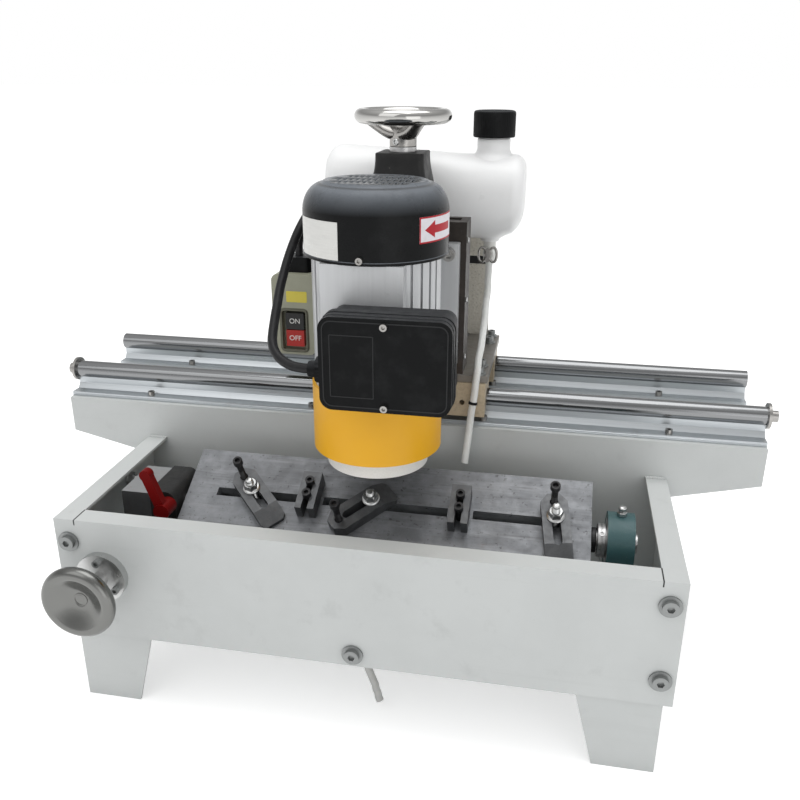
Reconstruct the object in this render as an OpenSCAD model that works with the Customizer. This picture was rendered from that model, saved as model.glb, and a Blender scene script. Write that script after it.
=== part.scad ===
// Planer knife grinder: a motor head on linear rails above a tilting knife table.
// X runs along the rails, Y towards the back, Z up. Lengths are in millimetres.

/* [Frame] */
// Depth of the tray from the front panel to the rail beam
tray_d = 207; // [200:1:230]
// Height of the front and side panels
panel_h = 132; // [126:1:150]
// Height of the legs under the tray
leg_h = 82; // [60:1:120]
// Thickness of the folded sheet steel
sheet_t = 3; // [2:0.5:4]
// Width of the lip folded along the panel tops
lip_w = 22; // [18:1:26]
// Length of the rail beam and of its rails
beam_l = 800; // [760:1:1000]
// Depth of the rail beam, front to back
beam_d = 176; // [172:1:200]
// Height of the rail beam
beam_h = 80; // [66:1:90]
// Height of the beam top above the panel tops
beam_rise = 43; // [36:1:60]
// Depth of a leg, front to back
leg_d = 45; // [30:1:60]
// Width of a leg where it meets the tray
leg_w = 80; // [60:1:100]
// Diameter of the bolts that hold the panels
bolt_d = 8; // [6:1:10]
// Diameter of the washers under the panel bolts
washer_d = 21; // [16:1:24]

/* [Rails] */
// Diameter of a rail rod
rod_d = 20; // [18:1:22]
// Height of the rod centre above the beam
rod_h = 27; // [26:1:32]
// Width of a rail support at its base
rail_w = 45; // [42:1:48]
// Distance between the front and the rear rod
rail_gap = 118; // [112:1:126]
// Distance from the beam face back to the front rod
rail_set = 29; // [26:1:32]
// Screws along one side of one rail support
rail_screw_n = 4; // [3:1:8]

/* [Carriage] */
// Place of the carriage along the rails, from the middle
carriage_x = 5; // [-60:1:60]
// Width of the carriage plate along the rails
plate_w = 196; // [192:1:220]
// Depth of the carriage plate
plate_d = 160; // [156:1:166]
// Thickness of the carriage plate
plate_t = 8; // [6:1:12]
// Length of a rail bearing block
block_l = 50; // [44:1:54]
// Width of a rail bearing block
block_w = 48; // [44:1:52]
// Distance along the rail between bearing block centres
block_gap = 142; // [136:1:142]
// Height of the column above the carriage plate
column_h = 170; // [166:1:190]
// Width of the column's slide ways
way_w = 136; // [130:1:142]
// Thickness of the column's slide ways
way_t = 12; // [10:1:16]
// Distance that the slide ways stand in front of the carriage plate
way_reach = 39; // [36:1:44]
// Distance from the slide ways back to the lead screw
screw_set = 56; // [50:1:60]
// Width of the screw housing on top of the column
neck_w = 47; // [40:1:56]
// Height of the screw housing
neck_h = 64; // [50:1:70]

/* [Head] */
// Height of the slide plate above the carriage plate at rest
slide_rest = 20; // [18:1:30]
// Height of the slide plate
slide_h = 155; // [150:1:170]
// Thickness of the slide plate
slide_t = 14; // [12:1:18]
// Diameter of the motor housing
motor_d = 120; // [114:1:122]
// Height of the motor housing
motor_h = 124; // [118:1:130]
// Diameter of the fan cover
cover_d = 133; // [132:1:138]
// Height of the fan cover
cover_h = 65; // [62:1:74]
// Width of the terminal box
box_w = 109; // [100:1:120]
// Height of the terminal box
box_h = 79; // [74:1:90]
// Depth of the terminal box without its cover
box_d = 24; // [22:1:30]
// Distance of the terminal box from the motor axis towards the right
box_shift = 30; // [24:1:34]
// Diameter of the wheel guard
guard_d = 126; // [125:1:132]
// Height of the wheel guard
guard_h = 66; // [60:1:70]
// Diameter of the grinding wheel
stone_d = 100; // [90:1:110]
// Height of the grinding wheel
stone_h = 40; // [36:1:44]
// Distance that the grinding wheel stands below its guard
stone_out = 18; // [15:1:28]
// Diameter of the lead screw
screw_d = 16; // [14:1:18]
// Diameter of the top handwheel
top_wheel_d = 100; // [90:1:110]
// Diameter of the motor shaft
shaft_d = 19; // [16:1:20]

/* [Switch] */
// Width of the switch box
switch_w = 50; // [46:1:54]
// Height of the switch box
switch_h = 93; // [86:1:100]
// Depth of the switch box
switch_d = 42; // [36:1:48]
// Width of a push button
button_w = 21; // [18:1:24]
// Height of a push button
button_h = 19; // [16:1:21]
// Distance that a push button travels
button_travel = 3; // [2:0.5:4]

/* [Tank] */
// Length of the coolant tank
tank_l = 218; // [200:1:224]
// Diameter of the coolant tank
tank_d = 92; // [84:1:94]
// Thickness of the tank wall
tank_t = 2.5; // [2:0.5:4]
// Height of the tank's middle above the carriage plate
tank_rise = 180; // [170:1:190]
// Diameter of the filler neck
filler_d = 35; // [30:1:38]
// Diameter of the screw cap
cap_d = 46; // [43:1:50]
// Height of the screw cap
cap_h = 28; // [24:1:34]

/* [Table] */
// Length of the table plate, which sets the width of the tray
table_l = 426; // [400:1:480]
// Width of the table plate
table_w = 118; // [110:1:122]
// Thickness of the table plate
table_t = 18; // [16:1:22]
// Height of the table top above its pivot
table_rise = 15; // [14:1:17]
// Tilt of the table in degrees, front down
tilt = 30; // [20:1:40]
// Distance from the front panel to the table's pivot
pivot_set = 104; // [100:1:108]
// Distance from the panel tops down to the table's pivot
pivot_drop = 25; // [24:1:32]
// Diameter of the table shafts
pivot_d = 20; // [18:1:22]
// Width of the clamp slots
slot_w = 10; // [9:0.5:11]

/* [Tilt drive] */
// Distance between the table's pivot and the worm shaft
gear_centres = 34; // [32:1:38]
// Diameter of the worm
worm_d = 20; // [18:1:22]
// Diameter of the handwheel shaft
worm_shaft_d = 16; // [14:1:17]
// Depth of the gear block, front to back
gear_d = 62; // [58:1:70]
// Diameter of the front handwheel
hand_d = 75; // [70:1:90]
// Diameter of the bearing flange on the front panel
flange_d = 52; // [46:1:58]
// Length of the red lock lever
lever_l = 42; // [38:1:50]

/* [Clamps] */
// Length of a strap clamp
clamp_l = 75; // [70:1:80]
// Width of a strap clamp
clamp_w = 27; // [24:1:29]
// Thickness of a strap clamp
clamp_t = 13; // [11:1:15]
// Diameter of the clamp studs and jack screws
stud_d = 8; // [6:1:8]
// Length of a stop block
stop_l = 45; // [42:1:48]
// Width of a stop block
stop_w = 20; // [17:1:21]
// Thickness of a stop block
stop_t = 18; // [14:1:20]
// Diameter of the stop block screws
stop_screw_d = 6; // [5:1:7]

/* [Hidden] */
$fn = 64;
fn_hull = 32;
// Overrun of every cut past the face it opens
over = 1;
// Radial clearance of a running shaft
run_gap = 0.05;
// Clearance between flat guides and between neighbouring curved faces
guide_gap = 0.3;
// Clearance around a bolt in its hole, across the diameter
hole_gap = 0.6;
// Clearance of a piece pressed into another, across the diameter
seat_gap = 0.1;

// Screw proportions as shares of the thread diameter
head_share = 1.55;
hex_share = 1.85;
nut_share = 0.9;
socket_share = 0.9;
socket_deep_share = 0.55;
button_share = 0.5;
washer_share = 0.3;

// Room beside the table for the tilt drive on the left and the bearing on the right
worm_inset = 47;
gear_left = 13;
gear_right = 19;
clamp_box_w = 28;
table_gap = 3;
pillow_gap = 15;
pillow_t = 26;
pillow_side = 40;
drive_room = worm_inset + gear_right + clamp_box_w + table_gap;
pillow_room = pillow_gap + pillow_t + pillow_side;
tray_w = table_l + drive_room + pillow_room;

// Heights and places of the frame
panel_z0 = leg_h;
panel_z1 = leg_h + panel_h;
floor_z = panel_z0 + sheet_t;
beam_z1 = panel_z1 + beam_rise;
beam_z0 = beam_z1 - beam_h;
beam_y0 = tray_d;
beam_y1 = tray_d + beam_d;
beam_end_rise = 14;
tray_hw = tray_w / 2;
floor_hw = tray_hw - sheet_t;
leg_inset = 8;
leg_taper = 21;
foot_w = 27;
bolt_inset = 14;
bolt_low = 28;
bolt_high = 24;
bolt_l = 14;
bolt_x = tray_hw - bolt_inset;
bolt_places = [
    [-bolt_x, panel_z0 + bolt_low],
    [-bolt_x, panel_z1 - bolt_high],
    [bolt_x, panel_z0 + bolt_low],
    [bolt_x, panel_z1 - bolt_high],
    [0, floor_z + lip_w / 2]
];
drain_x = 0;
drain_y = 48;
spigot_d = 10;
spigot_bore = 6;
spigot_l = 15;

// Rails
rail_y1 = tray_d + rail_set;
rail_y2 = rail_y1 + rail_gap;
rod_z = beam_z1 + rod_h;
rail_flange_t = 5;
rail_foot_w = 18;
rail_neck_w = 9;
rail_neck_z = 11;
rail_screw_d = 5;
rail_screw_set = 16;
rail_screw_l = 10;
end_washer_d = 28;
end_washer_t = 3;
end_screw_d = 8;
end_screw_l = 18;
rail_pitch = beam_l / rail_screw_n;

// Carriage
block_drop = 16;
block_rise = 23;
block_slot = 13;
block_hole = 6;
block_bolt_share = 0.35;
plate_bolt_d = 6;
plate_bolt_l = 18;
plate_washer_d = 14;
plate_bolt_y = (plate_d - rail_gap - plate_washer_d) / 2 - guide_gap;
rail_mid = rail_y1 + rail_gap / 2;
block_top = rod_z + block_rise;
plate_z1 = block_top + plate_t;
plate_y0 = rail_mid - plate_d / 2;
plate_y1 = rail_mid + plate_d / 2;
block_x = block_gap / 2;
way_y = plate_y0 - way_reach;
column_z1 = plate_z1 + column_h;
column_cap_t = 12;
column_wall = 20;
cavity_w = 40;
screw_y = way_y + screw_set;
cavity_back = 22;
cavity_y1 = screw_y + cavity_back;
column_w = cavity_w + 2 * column_wall;
column_y1 = cavity_y1 + way_t;
column_foot_w = 100;
neck_z1 = column_z1 + neck_h;
panel_rise = 155;
tank_panel_w = 166;
tank_panel_t = 4;
tank_shelf_w = 116;
tank_shelf_t = 3;
saddle_x = 40;
saddle_w = 12;
saddle_d = 50;
saddle_h = 8;
strap_slot_w = 24;
strap_slot_h = 10;
strap_slot_z = 95;
strap_slot_x = 68;

// Head
slide_y1 = way_y - run_gap;
slide_y0 = slide_y1 - slide_t;
hook_w = 8;
hook_lip = 13;
slide_w = way_w + 2 * (guide_gap + hook_w);
slide_z0 = plate_z1 + slide_rest;
slide_z1 = slide_z0 + slide_h;
motor_lift = 12;
pad_reach = 2;
pad_w = 74;
motor_r = motor_d / 2;
motor_back = motor_r + pad_reach;
motor_y = slide_y0 - motor_back;
motor_z0 = slide_z0 + motor_lift;
motor_z1 = motor_z0 + motor_h;
spigot_h = 10;
cover_t = 2.5;
cover_shoulder = 22;
cover_top_r = 44;
cover_z1 = motor_z1 + cover_h;
ear_w = 141;
ear_t = 14;
ear_bolt_d = 8;
ear_bolt_in = 9;
ear_bolt_low = 18;
ear_bolt_l = 20;
groove_w = 3;
groove_t = 2;
groove_angles = [-76, -65, -54, -43, 43, 54, 65, 76, 100, -100, 118, -118];
stator_bore = 66;
stator_room = 16;
stator_h = motor_h - 2 * stator_room;
stator_t = 22;
coil_h = 8;
coil_in = 4;
rotor_gap = 0.5;
bearing_d = 40;
bearing_h = 12;
shield_h = 10;
shield_inset = 3;
shield_boss = 6;
guard_t = 3;
guard_z1 = motor_z0;
guard_z0 = guard_z1 - guard_h;
guard_hole = 64;
stone_z0 = guard_z0 - stone_out;
stone_z1 = stone_z0 + stone_h;
stone_rim = 20;
stone_web = 14;
stone_step = 3;
spindle_d = 16;
hub_d = 44;
hub_t = 8;
wheel_nut_w = 24;
wheel_nut_h = 9;
spindle_end = 3;
fan_d = 112;
fan_hub_d = 36;
fan_z = 22;
fan_h = 26;
fan_disc_t = 3;
blade_t = 3;
blade_n = 8;
nut_w = 34;
nut_h = 32;
nut_z = 75;
nut_reach = 17;
top_collar_d = 28;
top_collar_h = 5;
top_rise = 35;
top_rim_d = 15;
top_hub_d = 28;
top_hub_h = 22;
top_spoke_d = 9;
top_spoke_n = 3;
top_spoke_dip = 9;
screw_foot = 4;
journal_d = 12;
cover_screw_d = 4;
cover_screw_l = 9;

// Terminal box and its cable entry
box_y1 = motor_y - motor_back;
box_y0 = box_y1 - box_d;
lid_t = 24;
lid_rim = 2;
box_round = 10;
box_wall = 3;
box_low = 10;
box_z0 = motor_z0 + box_low;
box_x0 = box_shift - box_w / 2;
box_x1 = box_shift + box_w / 2;
lid_screw_set = 4;
gland_d = 23;
gland_l = 21.5;
gland_z = 22;
gland_step = 14;
gland_nose_d = 14;
cable_d = 9;

// Switch
switch_gap = 2;
switch_back = 15;
switch_drop = 13;
switch_x1 = -(plate_w / 2 + switch_gap);
switch_x0 = switch_x1 - switch_w;
switch_y0 = plate_y0 + switch_back;
switch_y1 = switch_y0 + switch_d;
switch_z0 = slide_z0 - switch_drop;
switch_z1 = switch_z0 + switch_h;
switch_round = 8;
arm_t = 3;
arm_in = 6;
arm_low = 6;
arm_h = 62;
arm_z0 = slide_z0 + arm_low;
arm_z1 = arm_z0 + arm_h;
well_w = 30;
well_h = 48;
well_deep = 10;
well_low = 4.5;
button_gap = 1;
button_deep = 12;
button_out = 2;
latch_in = 2;
boot_w = 32;
boot_d = 24;
boot_h = 17;
boot_x = 27;
boot_y = 23;

// Tank
tank_x = 14;
tank_gap = 4;
tank_y = column_y1 + tank_gap + tank_d / 2;
tank_z = plate_z1 + tank_rise;
tank_round = 22;
filler_set = 37;
filler_x = tank_x + tank_l / 2 - filler_set;
filler_sink = 8;
filler_h = 18;
thread_h = 20;
filler_wall = 2.5;
cap_wall = 3;
cap_lift = 1;
cap_z0 = tank_z + tank_d / 2 + filler_h;
tap_d = 14;
tap_stem_d = 7;
tap_stem_l = 12;
tap_drop = 24;
tap_boss_h = 4;
tap_boss_d = 18;
tap_bore = 6;
tap_z1 = tank_z - tank_d / 2 - tap_boss_h;
tap_z0 = tap_z1 - tap_drop;
tap_hinge_z = tap_z0 + tap_drop / 2;
wing_l = 22;
wing_h = 8;
wing_t = 5;
hose_d = 8;

// Table and its pivots
pivot_y = pivot_set;
pivot_z = panel_z1 - pivot_drop;
worm_z = pivot_z - gear_centres;
worm_x = -(tray_hw - worm_inset);
gear_x0 = worm_x - gear_left;
gear_x1 = worm_x + gear_right;
gear_top = 22;
clamp_box_x1 = gear_x1 + clamp_box_w;
clamp_box_top = 25;
clamp_box_round = 10;
table_x0 = clamp_box_x1 + table_gap;
table_x1 = table_x0 + table_l;
table_v1 = table_w / 2;
table_v0 = -table_w / 2;
rib_w = 36;
rib_h = 16;
shaft_in = 24;
slot_v = 6.5;
tee_w = 18;
tee_h = 3;
slot_end_left = 33;
slot_end_right = 24;
web_w = 26;
slot_split_shares = [0.322, 0.692];
stop_us = [for (s = slot_split_shares) table_x0 + s * table_l];
slot_ends = [
    [table_x0 + slot_end_left, stop_us[0] - web_w / 2],
    [stop_us[0] + web_w / 2, stop_us[1] - web_w / 2],
    [stop_us[1] + web_w / 2, table_x1 - slot_end_right]
];
pillow_x0 = table_x1 + pillow_gap;
pillow_x1 = pillow_x0 + pillow_t;
pillow_r = 30;
pillow_w = 104;
pillow_base_t = 14;
pillow_h = 33;
pillow_base_z = pivot_z - pillow_h;
pillow_bolt_set = 42;
pillow_bolt_d = 10;
pillow_bolt_l = 26;
insert_d = 47;
insert_sleeve_d = 28;
insert_sleeve_l = 8;
nipple_d = 7;
nipple_h = 9;
shaft_end = 4;

// Tilt drive
sector_r = gear_centres - worm_d / 2 - guide_gap;
sector_t = 10;
sector_half = 58;
sector_hub = 32;
sector_room = 1;
tooth_n = 9;
tooth_w = 2.6;
tooth_deep = 3;
tooth_step = 12;
worm_y0 = pivot_y - gear_d / 2;
worm_end = 12;
worm_y1 = worm_y0 + gear_d - worm_end;
worm_groove_n = 6;
worm_groove_w = 3;
worm_groove_t = 2;
tail_d = 12;
flange_t = 8;
flange_screw_d = 5;
flange_screw_l = 10;
flange_screw_share = 0.37;
hand_back = 22;
hand_hub_d = 26;
hand_hub_l = 22;
hand_rim_d = 14;
hand_dish = 26;
hand_web_t = 3;
hand_front = hand_back + hand_dish + hand_rim_d / 2;
lever_in = 6.5;
lever_lift = 12;
lever_x = clamp_box_x1 - lever_in;
lever_z = pivot_z + lever_lift;
lever_hub_d = 17;
lever_hub_l = 20;
lever_tip_d = 12;
lever_t = 9;
lever_arm_w = 10;
lever_set = 1.5;
lever_lean = 20;
lever_stud_d = 8;
lever_stud_l = 18;

// Clamps and stops
clamp_stud_shares = [0.37, 0.66, 0.35];
clamp_place_shares = [0.175, 0.477];
clamp_end_set = 35.8;
clamp_angles = [-46, 44, -82];
clamp_us = concat([for (s = clamp_place_shares) table_x0 + s * table_l], [table_x1 - clamp_end_set]);
clamp_jack_in = 10;
clamp_slot_share = [0.26, 0.72];
clamp_nose_l = 18;
clamp_nose_t = 4;
clamp_nose_cut = 4;
clamp_tail_w = 12;
clamp_tail_l = 9;
nut_flange_d = 18;
nut_flange_t = 2;
stud_top = 35;
tee_nut_w = 16;
tee_nut_h = 6;
jack_top = 45;
stop_back = 30;
stop_screw_vs = [16.5, 1];
stop_slot_v = 24;
stop_screw_deep = 12;

// Middle of the machine from the handwheel's face to the back of the beam
origin_y = (beam_y1 - hand_front) / 2;

// Cord routes, before the move to the origin
motor_cable_route = [
    [-41, 25.95, 379], [-46, 25.95, 379], [-55.6, 27, 379.8], [-64.5, 30, 382], [-72.2, 34.7, 385.5],
    [-78, 40.8, 390.1], [-81.7, 47.9, 395.5], [-83.5, 56, 402], [-85, 67, 411], [-86, 79, 422],
    [-87, 91, 433], [-87, 103, 444], [-86, 114, 455.5], [-84, 124, 467], [-81, 133, 478.3],
    [-77.5, 142.6, 488.4], [-74, 153, 496.6], [-71.6, 164, 501.9], [-70.6, 175.5, 504.2],
    [-71.4, 187, 503.8], [-74.5, 198, 500.6], [-80, 208.5, 495.3], [-88, 219.2, 488], [-97, 229.8, 479.2],
    [-105.3, 238.8, 470.2], [-111.2, 245.4, 462.6], [-115.3, 249.9, 454.5], [-117.4, 252.3, 446],
    [-118, 253, 438], [-118, 253, 432]
];
water_hose_route = [
    [91, 316, 421], [91, 316, 415], [91, 314, 408], [91, 310, 400], [92, 303, 392], [92, 293, 384],
    [92, 281, 376], [93, 268, 368], [93, 255, 360], [93, 242, 352], [93, 229, 343], [92, 218, 334],
    [92, 209, 323], [91, 204, 309], [90, 201, 294], [88, 199, 279], [87, 197, 264], [86, 193, 250],
    [85, 188, 237], [84, 183, 224]
];
drain_hose_route = [
    [0, 48, 67], [0, 48, 63], [1, 48, 59], [1, 47, 55], [2, 47, 51], [4, 46, 47], [5, 46, 43], [7, 45, 39],
    [9, 44, 35], [11, 43, 31], [13, 42, 27], [14, 41, 23], [16, 40, 19], [17, 39, 15], [19, 38, 11]
];
cord_sides = 8;
cord_twist = [0.3, 1, 0.1];
hose_end_in = 7;
hose_end_y = 24;
hose_end_z = 10;
drain_end = [19, 38, 11];
gland_end = [carriage_x + box_x0 - gland_l, (box_y0 + box_y1) / 2, box_z0 + gland_z];
boot_top = [carriage_x + switch_x0 + boot_x, switch_y0 + boot_y, switch_z1 + boot_h];
tap_end = [carriage_x + filler_x, tank_y, tap_z0];
hose_end = [carriage_x + filler_x - hose_end_in, tray_d - hose_end_y, panel_z1 + hose_end_z];
spigot_end = [drain_x, drain_y, panel_z0 - spigot_l];

// Moves a piece from the front panel's face to the origin under the middle of the machine
module placed() {
    translate([0, -origin_y, 0]) children();
}

// Moves a piece along the rails with the carriage
module carried() {
    translate([carriage_x, -origin_y, 0]) children();
}

// Moves a piece to the table's pivot and tilts it
module tilted() {
    translate([0, pivot_y - origin_y, pivot_z]) rotate([tilt, 0, 0]) children();
}

// A block between two corners
module block(a, b) {
    translate(a) cube(b - a);
}

module bar_x(x0, x1, y, z, d) {
    translate([x0, y, z]) rotate([0, 90, 0]) cylinder(d = d, h = x1 - x0);
}

module bar_y(y0, y1, x, z, d) {
    translate([x, y0, z]) rotate([-90, 0, 0]) cylinder(d = d, h = y1 - y0);
}

module bar_z(z0, z1, x, y, d) {
    translate([x, y, z0]) cylinder(d = d, h = z1 - z0);
}

// An outline in Y and Z, drawn out along X
module along_x(x0, x1) {
    translate([x0, 0, 0]) rotate([90, 0, 90]) linear_extrude(x1 - x0) children();
}

// An outline in X and Z, drawn out along Y
module along_y(y0, y1) {
    translate([0, y1, 0]) rotate([90, 0, 0]) linear_extrude(y1 - y0) children();
}

// A rectangle with round corners, from exact arcs
module round_rect(a, b, r) {
    translate([a[0] + r, a[1]]) square([b[0] - a[0] - 2 * r, b[1] - a[1]]);
    translate([a[0], a[1] + r]) square([b[0] - a[0], b[1] - a[1] - 2 * r]);
    for (x = [a[0] + r, b[0] - r], y = [a[1] + r, b[1] - r]) translate([x, y]) circle(r);
}

// A socket head screw standing on z = 0, its shank below
module socket_screw(d, l) {
    difference() {
        union() {
            cylinder(d = d * head_share, h = d);
            translate([0, 0, -l]) cylinder(d = d, h = l);
        }
        translate([0, 0, d - d * socket_deep_share]) cylinder(d = d * socket_share, h = d, $fn = 6);
    }
}

// A low button head screw on a washer, standing on z = 0
module button_screw(d, l, ring_d) {
    z = d * washer_share;
    cylinder(d = ring_d, h = z);
    difference() {
        translate([0, 0, -l]) {
            cylinder(d = d, h = l + z);
            translate([0, 0, l + z]) cylinder(d = d * hex_share, h = d * button_share);
        }
        translate([0, 0, z + d * button_share / 4]) cylinder(d = d * socket_share, h = d, $fn = 6);
    }
}

// A socket head screw on a washer, standing on z = 0
module washer_screw(d, l, ring_d) {
    cylinder(d = ring_d, h = d * washer_share);
    translate([0, 0, d * washer_share]) socket_screw(d, l + d * washer_share);
}

// The same screw pointing backwards from a face at y
module screw_back(x, y, z) {
    translate([x, y, z]) rotate([90, 0, 0]) children();
}

// A route drawn between the places where its cord starts and ends
function led(p, a, b) =
    let (n = len(p) - 1, da = a - p[0], db = b - p[n])
    [for (i = [0 : n]) p[i] + da * (1 - i / n) + db * i / n];

// A tube along a route of points, with flat ends
function along(p, i) = p[min(i + 1, len(p) - 1)] - p[max(i - 1, 0)];
function unit(v) = v / norm(v);
function ring(p, i, r) =
    let (t = unit(along(p, i)), u = unit(cross(t, cord_twist)), w = cross(t, u))
    [for (k = [0 : cord_sides - 1])
        let (a = 360 * k / cord_sides) p[i] + r * (cos(a) * u + sin(a) * w)];
module tube(p, d) {
    n = len(p);
    s = cord_sides;
    points = [for (i = [0 : n - 1]) each ring(p, i, d / 2)];
    sides = [for (i = [0 : n - 2], k = [0 : s - 1])
        let (a = i * s + k, b = i * s + (k + 1) % s)
        each [[a, b, b + s], [a, b + s, a + s]]];
    start = [for (k = [1 : s - 2]) [0, k + 1, k]];
    finish = [for (k = [1 : s - 2]) [(n - 1) * s, (n - 1) * s + k, (n - 1) * s + k + 1]];
    polyhedron(points, concat(sides, start, finish), convexity = 6);
}

// Frame

module front_panel() {
    color("gainsboro") placed() difference() {
        union() {
            block([-tray_hw, 0, panel_z0], [tray_hw, sheet_t, panel_z1]);
            block([lip_w - tray_hw, 0, panel_z1 - sheet_t], [tray_hw - lip_w, lip_w, panel_z1]);
        }
        for (p = bolt_places) bar_y(-over, sheet_t + over, p[0], p[1], bolt_d + hole_gap);
        flange_holes(-over, sheet_t + over, hole_gap);
    }
}

// The shaft hole and the screw holes that the panel and its bearing flange share
module flange_holes(y0, y1, gap) {
    bar_y(y0, y1, worm_x, worm_z, worm_shaft_d + gap);
    for (a = [90 : 120 : 330]) {
        r = flange_d * flange_screw_share;
        bar_y(y0, y1, worm_x + r * cos(a), worm_z + r * sin(a), flange_screw_d + hole_gap);
    }
}

module side_panel() {
    difference() {
        union() {
            along_x(floor_hw, tray_hw) polygon([
                [sheet_t, panel_z0], [beam_y1, panel_z0], [beam_y1, beam_z0], [tray_d, beam_z0],
                [tray_d, panel_z1], [sheet_t, panel_z1]
            ]);
            block([tray_hw - lip_w, sheet_t, panel_z1 - sheet_t], [tray_hw, tray_d, panel_z1]);
            block([floor_hw - lip_w, sheet_t, panel_z0], [tray_hw, 2 * sheet_t, panel_z1 - sheet_t]);
        }
        for (p = bolt_places) bar_y(0, 2 * sheet_t + over, p[0], p[1], bolt_d + hole_gap);
    }
}

module left_side_panel() {
    color("gainsboro") placed() mirror([1, 0, 0]) side_panel();
}

module right_side_panel() {
    color("gainsboro") placed() side_panel();
}

module tray_floor() {
    upstand_hw = floor_hw - lip_w;
    color("lightgray") placed() difference() {
        union() {
            block([-floor_hw, 2 * sheet_t, panel_z0], [floor_hw, beam_y1, floor_z]);
            block([-upstand_hw, sheet_t, panel_z0], [upstand_hw, 2 * sheet_t, floor_z + lip_w]);
            block([-floor_hw, tray_d, panel_z0], [floor_hw, tray_d + sheet_t, beam_z0]);
            block([-floor_hw, beam_y1 - sheet_t, panel_z0], [floor_hw, beam_y1, beam_z0]);
            block([pillow_x0, pivot_y - pillow_w / 2, panel_z0],
                [pillow_x1, pivot_y + pillow_w / 2, pillow_base_z]);
            bar_z(panel_z0 - spigot_l, panel_z0, drain_x, drain_y, spigot_d);
        }
        bar_z(panel_z0 - spigot_l - over, floor_z + over, drain_x, drain_y, spigot_bore);
        for (p = bolt_places) bar_y(0, 2 * sheet_t + over, p[0], p[1], bolt_d + hole_gap);
        pillow_bolt_holes();
    }
}

module pillow_bolt_holes() {
    x = (pillow_x0 + pillow_x1) / 2;
    z1 = pillow_base_z + pillow_base_t;
    for (s = [-1, 1])
        bar_z(z1 - pillow_bolt_l - over, z1 + over, x, pivot_y + s * pillow_bolt_set,
            pillow_bolt_d + hole_gap);
}

module rail_beam() {
    hl = beam_l / 2;
    t = sheet_t;
    end_z = beam_z0 + beam_end_rise;
    color("gainsboro") placed() difference() {
        along_y(beam_y0, beam_y1) polygon([
            [-tray_hw, beam_z0], [tray_hw, beam_z0], [tray_hw, end_z], [hl, panel_z1], [hl, beam_z1],
            [-hl, beam_z1], [-hl, panel_z1], [-tray_hw, end_z]
        ]);
        along_y(beam_y0 + t, beam_y1 - t) polygon([
            [-floor_hw, beam_z0 + t], [floor_hw, beam_z0 + t], [floor_hw, end_z + t],
            [hl - t, panel_z1 + t], [hl - t, beam_z1 - t], [t - hl, beam_z1 - t], [t - hl, panel_z1 + t],
            [-floor_hw, end_z + t]
        ]);
        rail_screw_places() translate([0, 0, -rail_screw_l - over])
            cylinder(d = rail_screw_d + hole_gap, h = rail_screw_l + over);
    }
}

module leg() {
    x1 = tray_hw - leg_inset;
    x0 = x1 - leg_w;
    t = sheet_t;
    along_y(0, t) polygon([[x0 + leg_taper, 0], [x1, 0], [x1, leg_h], [x0, leg_h]]);
    block([x1 - t, 0, 0], [x1, leg_d, leg_h]);
    linear_extrude(t) polygon([[x0 + leg_taper, 0], [x1, 0], [x1, leg_d], [x1 - foot_w, leg_d]]);
    translate([0, 0, leg_h - t]) linear_extrude(t)
        polygon([[x0, 0], [x1, 0], [x1, leg_d], [x1 - foot_w, leg_d]]);
}

module legs() {
    color("gainsboro") placed() for (s = [0, 1]) mirror([s, 0, 0]) {
        translate([0, sheet_t, 0]) leg();
        translate([0, beam_y1, 0]) mirror([0, 1, 0]) leg();
    }
}

module frame_bolts() {
    r = flange_d * flange_screw_share;
    x = (pillow_x0 + pillow_x1) / 2;
    color("silver") placed() {
        for (p = bolt_places) screw_back(p[0], 0, p[1]) button_screw(bolt_d, bolt_l, washer_d);
        for (a = [90 : 120 : 330])
            screw_back(worm_x + r * cos(a), -flange_t, worm_z + r * sin(a))
                socket_screw(flange_screw_d, flange_t + sheet_t);
        for (s = [-1, 1])
            translate([x, pivot_y + s * pillow_bolt_set, pillow_base_z + pillow_base_t])
                socket_screw(pillow_bolt_d, pillow_bolt_l);
    }
}

// Places of the rail screws, on top of the rail supports' flanges
module rail_screw_places() {
    for (i = [0 : rail_screw_n - 1], y = [rail_y1, rail_y2], s = [-1, 1])
        translate([rail_pitch * (i + 1 / 2) - beam_l / 2, y + s * rail_screw_set, beam_z1 + rail_flange_t])
            children();
}

module rail_supports() {
    rw = rail_w / 2;
    fw = rail_foot_w / 2;
    nw = rail_neck_w / 2;
    color("lightsteelblue") placed() difference() {
        for (y = [rail_y1, rail_y2]) difference() {
            translate([0, y, beam_z1]) along_x(-beam_l / 2, beam_l / 2) polygon([
                [-rw, 0], [rw, 0], [rw, rail_flange_t], [fw, rail_flange_t], [nw, rail_neck_z],
                [nw, rod_h], [-nw, rod_h], [-nw, rail_neck_z], [-fw, rail_flange_t], [-rw, rail_flange_t]
            ]);
            bar_x(-beam_l, beam_l, y, rod_z, rod_d);
        }
        rail_screw_places() translate([0, 0, -rail_flange_t - over])
            cylinder(d = rail_screw_d + hole_gap, h = rail_flange_t + 2 * over);
    }
}

module rail_rods() {
    hl = beam_l / 2;
    color("silver") placed() for (y = [rail_y1, rail_y2]) difference() {
        bar_x(-hl, hl, y, rod_z, rod_d);
        for (s = [-1, 1])
            bar_x(s * hl - end_screw_l - over, s * hl + end_screw_l + over, rail_y1, rod_z,
                end_screw_d + hole_gap);
    }
}

module rail_screws() {
    color("dimgray") placed() {
        rail_screw_places() socket_screw(rail_screw_d, rail_screw_l);
        for (s = [0, 1]) mirror([s, 0, 0])
            translate([beam_l / 2, rail_y1, rod_z]) rotate([0, 90, 0]) {
                cylinder(d = end_washer_d, h = end_washer_t);
                translate([0, 0, end_washer_t]) socket_screw(end_screw_d, end_screw_l + end_washer_t);
            }
    }
}

module drain_hose() {
    color("darkgray") placed() tube(led(drain_hose_route, spigot_end, drain_end), hose_d);
}

// Tilt drive

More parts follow.
